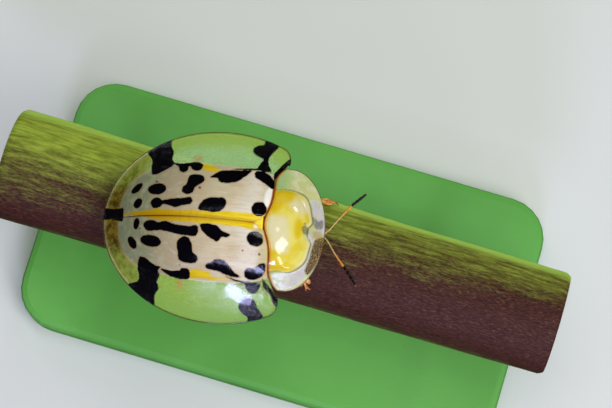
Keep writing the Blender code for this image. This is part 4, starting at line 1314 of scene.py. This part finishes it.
def pronotum_paint():
    """Golden glossy disc with paler clouds, and a frosted margin, netted at its front right; the clouds and
    frost are partly painted sheen, and the disc's edge has a painted highlight inside and painted shade
    outside.
    """
    p = Paint("pronotum", 0.2, coat=0.9, coat_roughness=0.05)
    where = p.place()
    clouds = p.noise(where, 0.9, 2.0)
    grain = p.noise(where, 3.2, 3.0)
    # Paler clouds on the disc: partly its own paler tone, partly painted sheen.
    pale = p.step(p.value("pale"), -0.3, 0.3, 1.0, 0.0)
    gold = p.step(p.value("gold"), -0.15, 0.22, 1.0, 0.0)
    disc = p.mixed(p.step(clouds, 0.35, 0.65), linear(228, 206, 58), linear(234, 220, 106))
    disc = p.mixed(p.times(pale, p.step(grain, 0.2, 0.5, 0.6, 0.95)), disc, linear(228, 218, 170))
    disc = p.mixed(p.times(gold, 0.85), disc, linear(222, 188, 2))

    web = p.step(p.cells(where, 7.0, "DISTANCE_TO_EDGE"), 0.02, 0.12, 1.0, 0.0)
    # Whitish frost on the margin: partly the margin's own whitish tissue, partly painted reflection.
    white = p.times(p.step(p.value("white"), -0.16, 0.2, 1.0, 0.0), p.step(grain, 0.36, 0.58, 0.4, 0.95))
    hatch = p.step(p.value("hatch"), -0.08, 0.1, 1.0, 0.0)
    clear = p.mixed(p.step(p.noise(where, 1.8, 3.0), 0.4, 0.65), linear(218, 224, 146), linear(238, 238, 190))
    clear = p.mixed(p.times(web, 0.35), clear, linear(234, 230, 190))
    along = p.minus(p.node("ShaderNodeSeparateXYZ", {0: where}).outputs[0], BEETLE_AT.x)
    clear = p.mixed(p.step(along, 5.3, 4.4, 0.0, 0.8), clear, linear(178, 210, 136))
    # White at the rear turning lavender to the front: partly tissue colour, partly painted reflection.
    frost_and_sheen = p.mixed(p.step(along, 4.4, 5.8), linear(250, 250, 248), linear(204, 196, 212))
    clear = p.mixed(white, clear, frost_and_sheen)
    net = p.mixed(web, linear(56, 32, 24), linear(170, 134, 82))
    clear = p.mixed(p.times(hatch, 0.95), clear, net)
    specks = p.times(p.step(p.cells(where, 5.0), 0.12, 0.2, 1.0, 0.0), p.step(clouds, 0.45, 0.6))
    clear = p.mixed(p.times(specks, 0.5), clear, linear(70, 62, 40))

    outline = p.value("disc")
    inside = p.step(outline, -0.04, 0.05, 1.0, 0.0)
    # A dark greenish line in the groove just outside the disc's edge: painted shade.
    fold = p.times(p.step(outline, -0.06, 0.02), p.step(outline, 0.14, 0.06))
    colour = p.mixed(inside, clear, disc)
    colour = p.mixed(p.times(fold, p.step(along, 4.6, 5.8, 0.3, 0.7)), colour, linear(112, 112, 62))
    # A pale line just inside the disc's front edge: a painted highlight.
    crest_highlight = p.times(p.step(outline, -0.02, -0.08), p.step(outline, -0.24, -0.12))
    colour = p.mixed(p.times(crest_highlight, p.step(along, 5.2, 6.2, 0.0, 0.6)), colour, linear(244, 240, 208))
    colour = p.mixed(p.step(p.value("head"), 0.12, -0.16, 0.0, 0.7), colour, linear(196, 168, 102))
    marks = p.times(p.step(p.value("marks"), -0.06, 0.1, 1.0, 0.0), p.step(grain, 0.25, 0.5, 0.5, 0.9))
    colour = p.mixed(p.times(marks, 0.8), colour, linear(88, 96, 66))
    rim = p.step(p.value("rim"), 0.03, 0.09, 1.0, 0.0)
    colour = p.mixed(p.times(rim, 0.85), colour, linear(128, 88, 34))
    front = p.value("front")
    colour = p.mixed(p.step(front, 0.14, 0.24, 0.8, 0.0), colour, linear(214, 150, 30))
    seam = p.step(front, 0.05, 0.13, 0.9, 0.0)
    colour = p.mixed(seam, colour, linear(142, 66, 10))
    frosted = p.blend(white, 0.66, 0.9)
    frosted = p.blend(hatch, frosted, p.blend(web, 0.35, 0.8))
    frosted = p.most(frosted, p.times(specks, 0.8))
    solid = p.most(p.most(rim, seam), p.times(marks, 0.9))
    alpha = p.most(p.blend(inside, frosted, 0.97), solid)
    relief = p.plus(p.noise(where, 1.1, 2.0), p.times(web, p.blend(inside, 0.3, 0.0)))
    p.bump(relief, 0.05, 0.7)
    return p.finish(colour, p.blend(inside, 0.26, 0.16), alpha)


def chitin_paint(name, light, dark, roughness=0.35, shine=0.3):
    """Amber body wall: clouded, finely pitted and glossy."""
    p = Paint(name, roughness, coat=shine, coat_roughness=0.12, subsurface=0.15)
    where = p.place()
    colour = p.mixed(p.step(p.noise(where, 1.6), 0.35, 0.7), light, dark)
    pits = p.step(p.cells(where, 7.0), 0.1, 0.3, 1.0, 0.0)
    colour = p.mixed(p.times(pits, 0.3), colour, dark)
    relief = p.minus(p.noise(where, 4.0), pits)
    p.bump(relief, 0.02, 0.6)
    return p.finish(colour)


def leg_paint():
    p = Paint("leg", 0.3, coat=0.5, coat_roughness=0.1, subsurface=0.25)
    where = p.place()
    shade = p.value("shade")
    colour = p.mixed(p.step(p.noise(where, 3.4), 0.36, 0.68), linear(236, 178, 92), linear(208, 122, 44))
    colour = p.mixed(p.step(shade, 0.68, 0.78, 0.0, 0.5), colour, linear(186, 100, 36))
    colour = p.mixed(p.step(shade, 0.88, 1.0), colour, linear(70, 30, 12))
    p.bump(p.noise(where, 9.0), 0.015, 0.6)
    return p.finish(colour)


def antenna_paint():
    p = Paint("antenna", 0.35, coat=0.3, coat_roughness=0.15, subsurface=0.1)
    where = p.place()
    joint = p.value("joint")
    colour = p.mixed(p.step(p.noise(where, 3.0), 0.3, 0.7), linear(214, 186, 120), linear(192, 154, 84))
    colour = p.mixed(p.step(joint, 4.6, 5.6), colour, linear(222, 138, 38))
    colour = p.mixed(p.step(joint, 6.95, 7.1), colour, linear(14, 11, 13))
    colour = p.mixed(p.step(joint, 10.7, 10.95), colour, linear(176, 112, 96))
    p.bump(p.noise(where, 12.0), 0.012, 0.7)
    return p.finish(colour)


def eye_paint():
    p = Paint("eye", 0.18, coat=0.8, coat_roughness=0.05)
    where = p.place()
    facets = p.cells(where, 16.0, "DISTANCE_TO_EDGE", 0.3)
    colour = p.mixed(p.step(facets, 0.0, 0.12), linear(36, 30, 26), linear(16, 14, 16))
    p.bump(p.step(facets, 0.0, 0.25), 0.012, 0.8)
    return p.finish(colour)


def stem_paint():
    """Bark by the way it faces: green on its left flank with a painted lime highlight along its edge, mottled
    above, maroon to its right.
    """
    p = Paint("stem", 0.5, specular=0.25)
    bark = p.value("bark", "Vector")
    split = p.node("ShaderNodeSeparateXYZ", {0: bark})
    left = split.outputs[0]
    up = split.outputs[1]
    along = split.outputs[2]
    streaks = p.noise(p.stretch(bark, 16.0, 16.0, 0.55), 1.0, 5.0, 0.65)
    fine = p.noise(p.stretch(bark, 48.0, 48.0, 3.0), 1.0, 5.0, 0.75)
    patches = p.noise(p.stretch(bark, 2.4, 2.4, 0.16), 1.0, 3.0, 0.55)
    tone = p.plus(left, p.times(p.minus(streaks, 0.5), 1.2))
    tone = p.plus(tone, p.times(p.minus(patches, 0.5), 0.9))
    tone = p.plus(tone, p.times(along, -0.022))
    tone = p.plus(tone, p.times(p.minus(fine, 0.5), 1.2))
    green = p.mixed(p.step(streaks, 0.35, 0.65), linear(118, 134, 34), linear(154, 174, 58))
    maroon = p.mixed(p.step(fine, 0.35, 0.65), linear(44, 14, 13), linear(86, 46, 36))
    colour = p.mixed(p.step(tone, -0.36, 1.02), maroon, green)
    colour = p.mixed(p.step(fine, 0.56, 0.72, 0.0, 0.45), colour, linear(132, 112, 64))
    # Lime along the far left flank: a painted highlight over the bark's green.
    colour = p.mixed(p.step(left, 0.76, 0.93, 0.0, 0.85), colour, linear(176, 216, 84))
    below = p.plus(up, p.times(p.minus(streaks, 0.5), 0.8))
    under = p.mixed(p.step(fine, 0.3, 0.7), linear(88, 104, 34), linear(124, 138, 52))
    colour = p.mixed(p.step(below, 0.12, -0.22), colour, under)
    relief = p.plus(streaks, p.times(fine, 0.5))
    p.bump(relief, 0.09, 0.7)
    return p.finish(colour, p.step(streaks, 0.3, 0.7, 0.42, 0.62))


def cut_paint():
    """Sawn ends: green skin, pale fibre and a soft white pith."""
    p = Paint("stem_cut", 0.7)
    bark = p.value("bark", "Vector")
    split = p.node("ShaderNodeSeparateXYZ", {0: bark})
    across = p.maths("POWER", split.outputs[0], 2.0)
    over = p.maths("POWER", split.outputs[1], 2.0)
    reach = p.maths("SQRT", p.plus(across, over))
    fibres = p.cells(p.stretch(bark, 1, 1, 0), 11.0)
    colour = p.mixed(p.step(reach, 0.3, 0.55), linear(226, 226, 196), linear(178, 186, 112))
    colour = p.mixed(p.step(fibres, 0.15, 0.3, 0.5, 0.0), colour, linear(112, 120, 52))
    colour = p.mixed(p.step(reach, 0.86, 0.95), colour, linear(74, 88, 30))
    p.bump(fibres, 0.1, 0.6)
    return p.finish(colour)


def stand_paint():
    """Matte green lacquer with a fine orange-peel surface."""
    p = Paint("stand_plate", 0.55)
    where = p.place()
    colour = p.mixed(p.step(p.noise(where, 0.12), 0.3, 0.7), linear(90, 166, 66), linear(100, 176, 76))
    p.bump(p.noise(where, 3.0, 4.0), 0.03, 0.35)
    return p.finish(colour, p.step(p.noise(where, 0.8), 0.3, 0.7, 0.5, 0.62))


def steel_paint():
    p = Paint("stand_rod", 0.32)
    p.shader.inputs["Metallic"].default_value = 1.0
    where = p.place()
    brushed = p.noise(p.stretch(where, 2.0, 2.0, 30.0), 1.0, 3.0)
    colour = p.mixed(brushed, linear(176, 178, 180), linear(206, 206, 206))
    p.bump(brushed, 0.01, 0.5)
    return p.finish(colour, p.step(brushed, 0.2, 0.8, 0.25, 0.42))


def floor_paint():
    p = Paint("floor", 0.8, specular=0.2)
    where = p.place()
    return p.finish(p.mixed(p.noise(where, 0.02), linear(214, 217, 212), linear(220, 222, 218)))


# Camera, floor and light.
def set_camera():
    """The photo's view: nearly from above, turned a little."""
    data = bpy.data.cameras.new("camera")
    data.sensor_width = SENSOR
    data.lens = SENSOR * VIEW_DISTANCE / VIEW_WIDTH
    data.clip_start = 0.005
    data.clip_end = 10.0
    made = bpy.data.objects.new("camera", data)
    made.location = (VIEW_TARGET + BEETLE_AT + BACK * VIEW_DISTANCE) * MM
    turn = Matrix((RIGHT, VIEW_UP, BACK)).transposed()
    made.rotation_euler = turn.to_euler()
    bpy.context.scene.collection.objects.link(made)
    bpy.context.scene.camera = made


def add_light(name, way, reach, size, power, colour=(1, 1, 1), long=None, glossy=True, diffuse=True):
    """An area light that looks at the beetle from a way and a distance in metres."""
    place = HEART + Vector(way) * reach
    data = bpy.data.lights.new(name, "AREA")
    data.energy = power
    data.color = colour
    data.shape = "RECTANGLE" if long else "DISK"
    data.size = size
    data.size_y = long or size
    made = bpy.data.objects.new(name, data)
    made.location = place
    made.rotation_euler = (HEART - place).to_track_quat("-Z", "Y").to_euler()
    made.visible_glossy = glossy
    made.visible_diffuse = diffuse
    bpy.context.scene.collection.objects.link(made)


def set_stage():
    """A plain pale floor, a dim even sky and the lights."""
    mesh = bpy.data.meshes.new("floor")
    half = FLOOR_WIDTH / 2
    corners = [(-half, -half, 0), (half, -half, 0), (half, half, 0), (-half, half, 0)]
    mesh.from_pydata(corners, [], [(0, 1, 2, 3)])
    mesh.materials.append(floor_paint())
    floor = bpy.data.objects.new("floor", mesh)
    bpy.context.scene.collection.objects.link(floor)
    floor.visible_glossy = False
    world = bpy.data.worlds.new("world")
    world.use_nodes = True
    world.node_tree.nodes["Background"].inputs[0].default_value = (0.9, 0.95, 0.92, 1.0)
    world.node_tree.nodes["Background"].inputs[1].default_value = 0.22
    world.cycles_visibility.glossy = False
    bpy.context.scene.world = world
    bpy.context.scene.view_settings.view_transform = "Standard"
    add_light("side", (0.05, -0.895, 0.44), NEAR, 0.078, 0.26, (0.58, 0.57, 1.0), 0.028)
    add_light("gleam", (0.23, -0.91, 0.34), NEAR, 0.016, 0.02, (0.56, 0.58, 1.0), 0.014, diffuse=False)
    add_light("window", (0.52, -0.42, 0.74), NEAR, 0.12, 0.22, long=0.1)
    add_light("sill", (0.48, -0.78, 0.36), NEAR, 0.02, 0.05, long=0.11)
    add_light("pane", (0.78, 0.58, 0.26), NEAR, 0.04, 0.02, long=0.025, diffuse=False)
    add_light("front", (0.36, 0.04, 0.93), FAR, 0.05, 0.02)
    add_light("sheen", (-0.04, 0.38, 0.92), FAR, 0.05, 0.018, (0.8, 0.85, 1.0), 0.02)
    add_light("left", (0.2, 0.95, 0.2), NEAR, 0.06, 0.14, glossy=False)
    add_light("rim", (-0.44, 0.78, 0.42), NEAR, 0.04, 0.04, (0.85, 0.88, 1.0), 0.03)
    add_light("fill", (0.1, 0.05, 0.95), FAR, 0.3, 0.38, glossy=False)


def main():
    set_camera()
    set_stage()
    # Gloss of the cream disc and margin spots, the clear margin, the disc's spots and the front spots.
    shells = [
        wing_case_paint("wing_case", 0.22, 0.08, 0.1),
        wing_case_paint("wing_margin", 0.9, 0.9, 0.08),
        wing_case_paint("wing_spot", 0.09, 0.0, 0.1),
        wing_case_paint("wing_shoulder", 0.6, 0.35, 0.08),
    ]
    amber = chitin_paint("body", linear(206, 150, 62), linear(150, 92, 30))
    limb = leg_paint()
    feeler = antenna_paint()
    black = eye_paint()
    wing_case("elytron_left", 1, LEFT_SPOTS, shells)
    wing_case("elytron_right", -1, RIGHT_SPOTS, shells)
    pronotum(pronotum_paint())
    scutellum(chitin_paint("scutellum", linear(255, 228, 56), linear(252, 204, 20), 0.3, 0.3))
    abdomen(amber)
    thorax(amber)
    prothorax(amber)
    head(amber)
    mouthparts(limb)
    for side, word in ((1, "left"), (-1, "right")):
        eye(f"eye_{word}", side, black)
        antenna(f"antenna_{word}", side, feeler)
    for name in LEGS:
        leg(name, limb)
    stem(stem_paint(), cut_paint())
    plate = stand_paint()
    rod = steel_paint()
    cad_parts["stand_base"].material_slots[0].material = plate
    for word in ("back", "front"):
        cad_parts[f"stand_rod_{word}"].material_slots[0].material = rod


main()
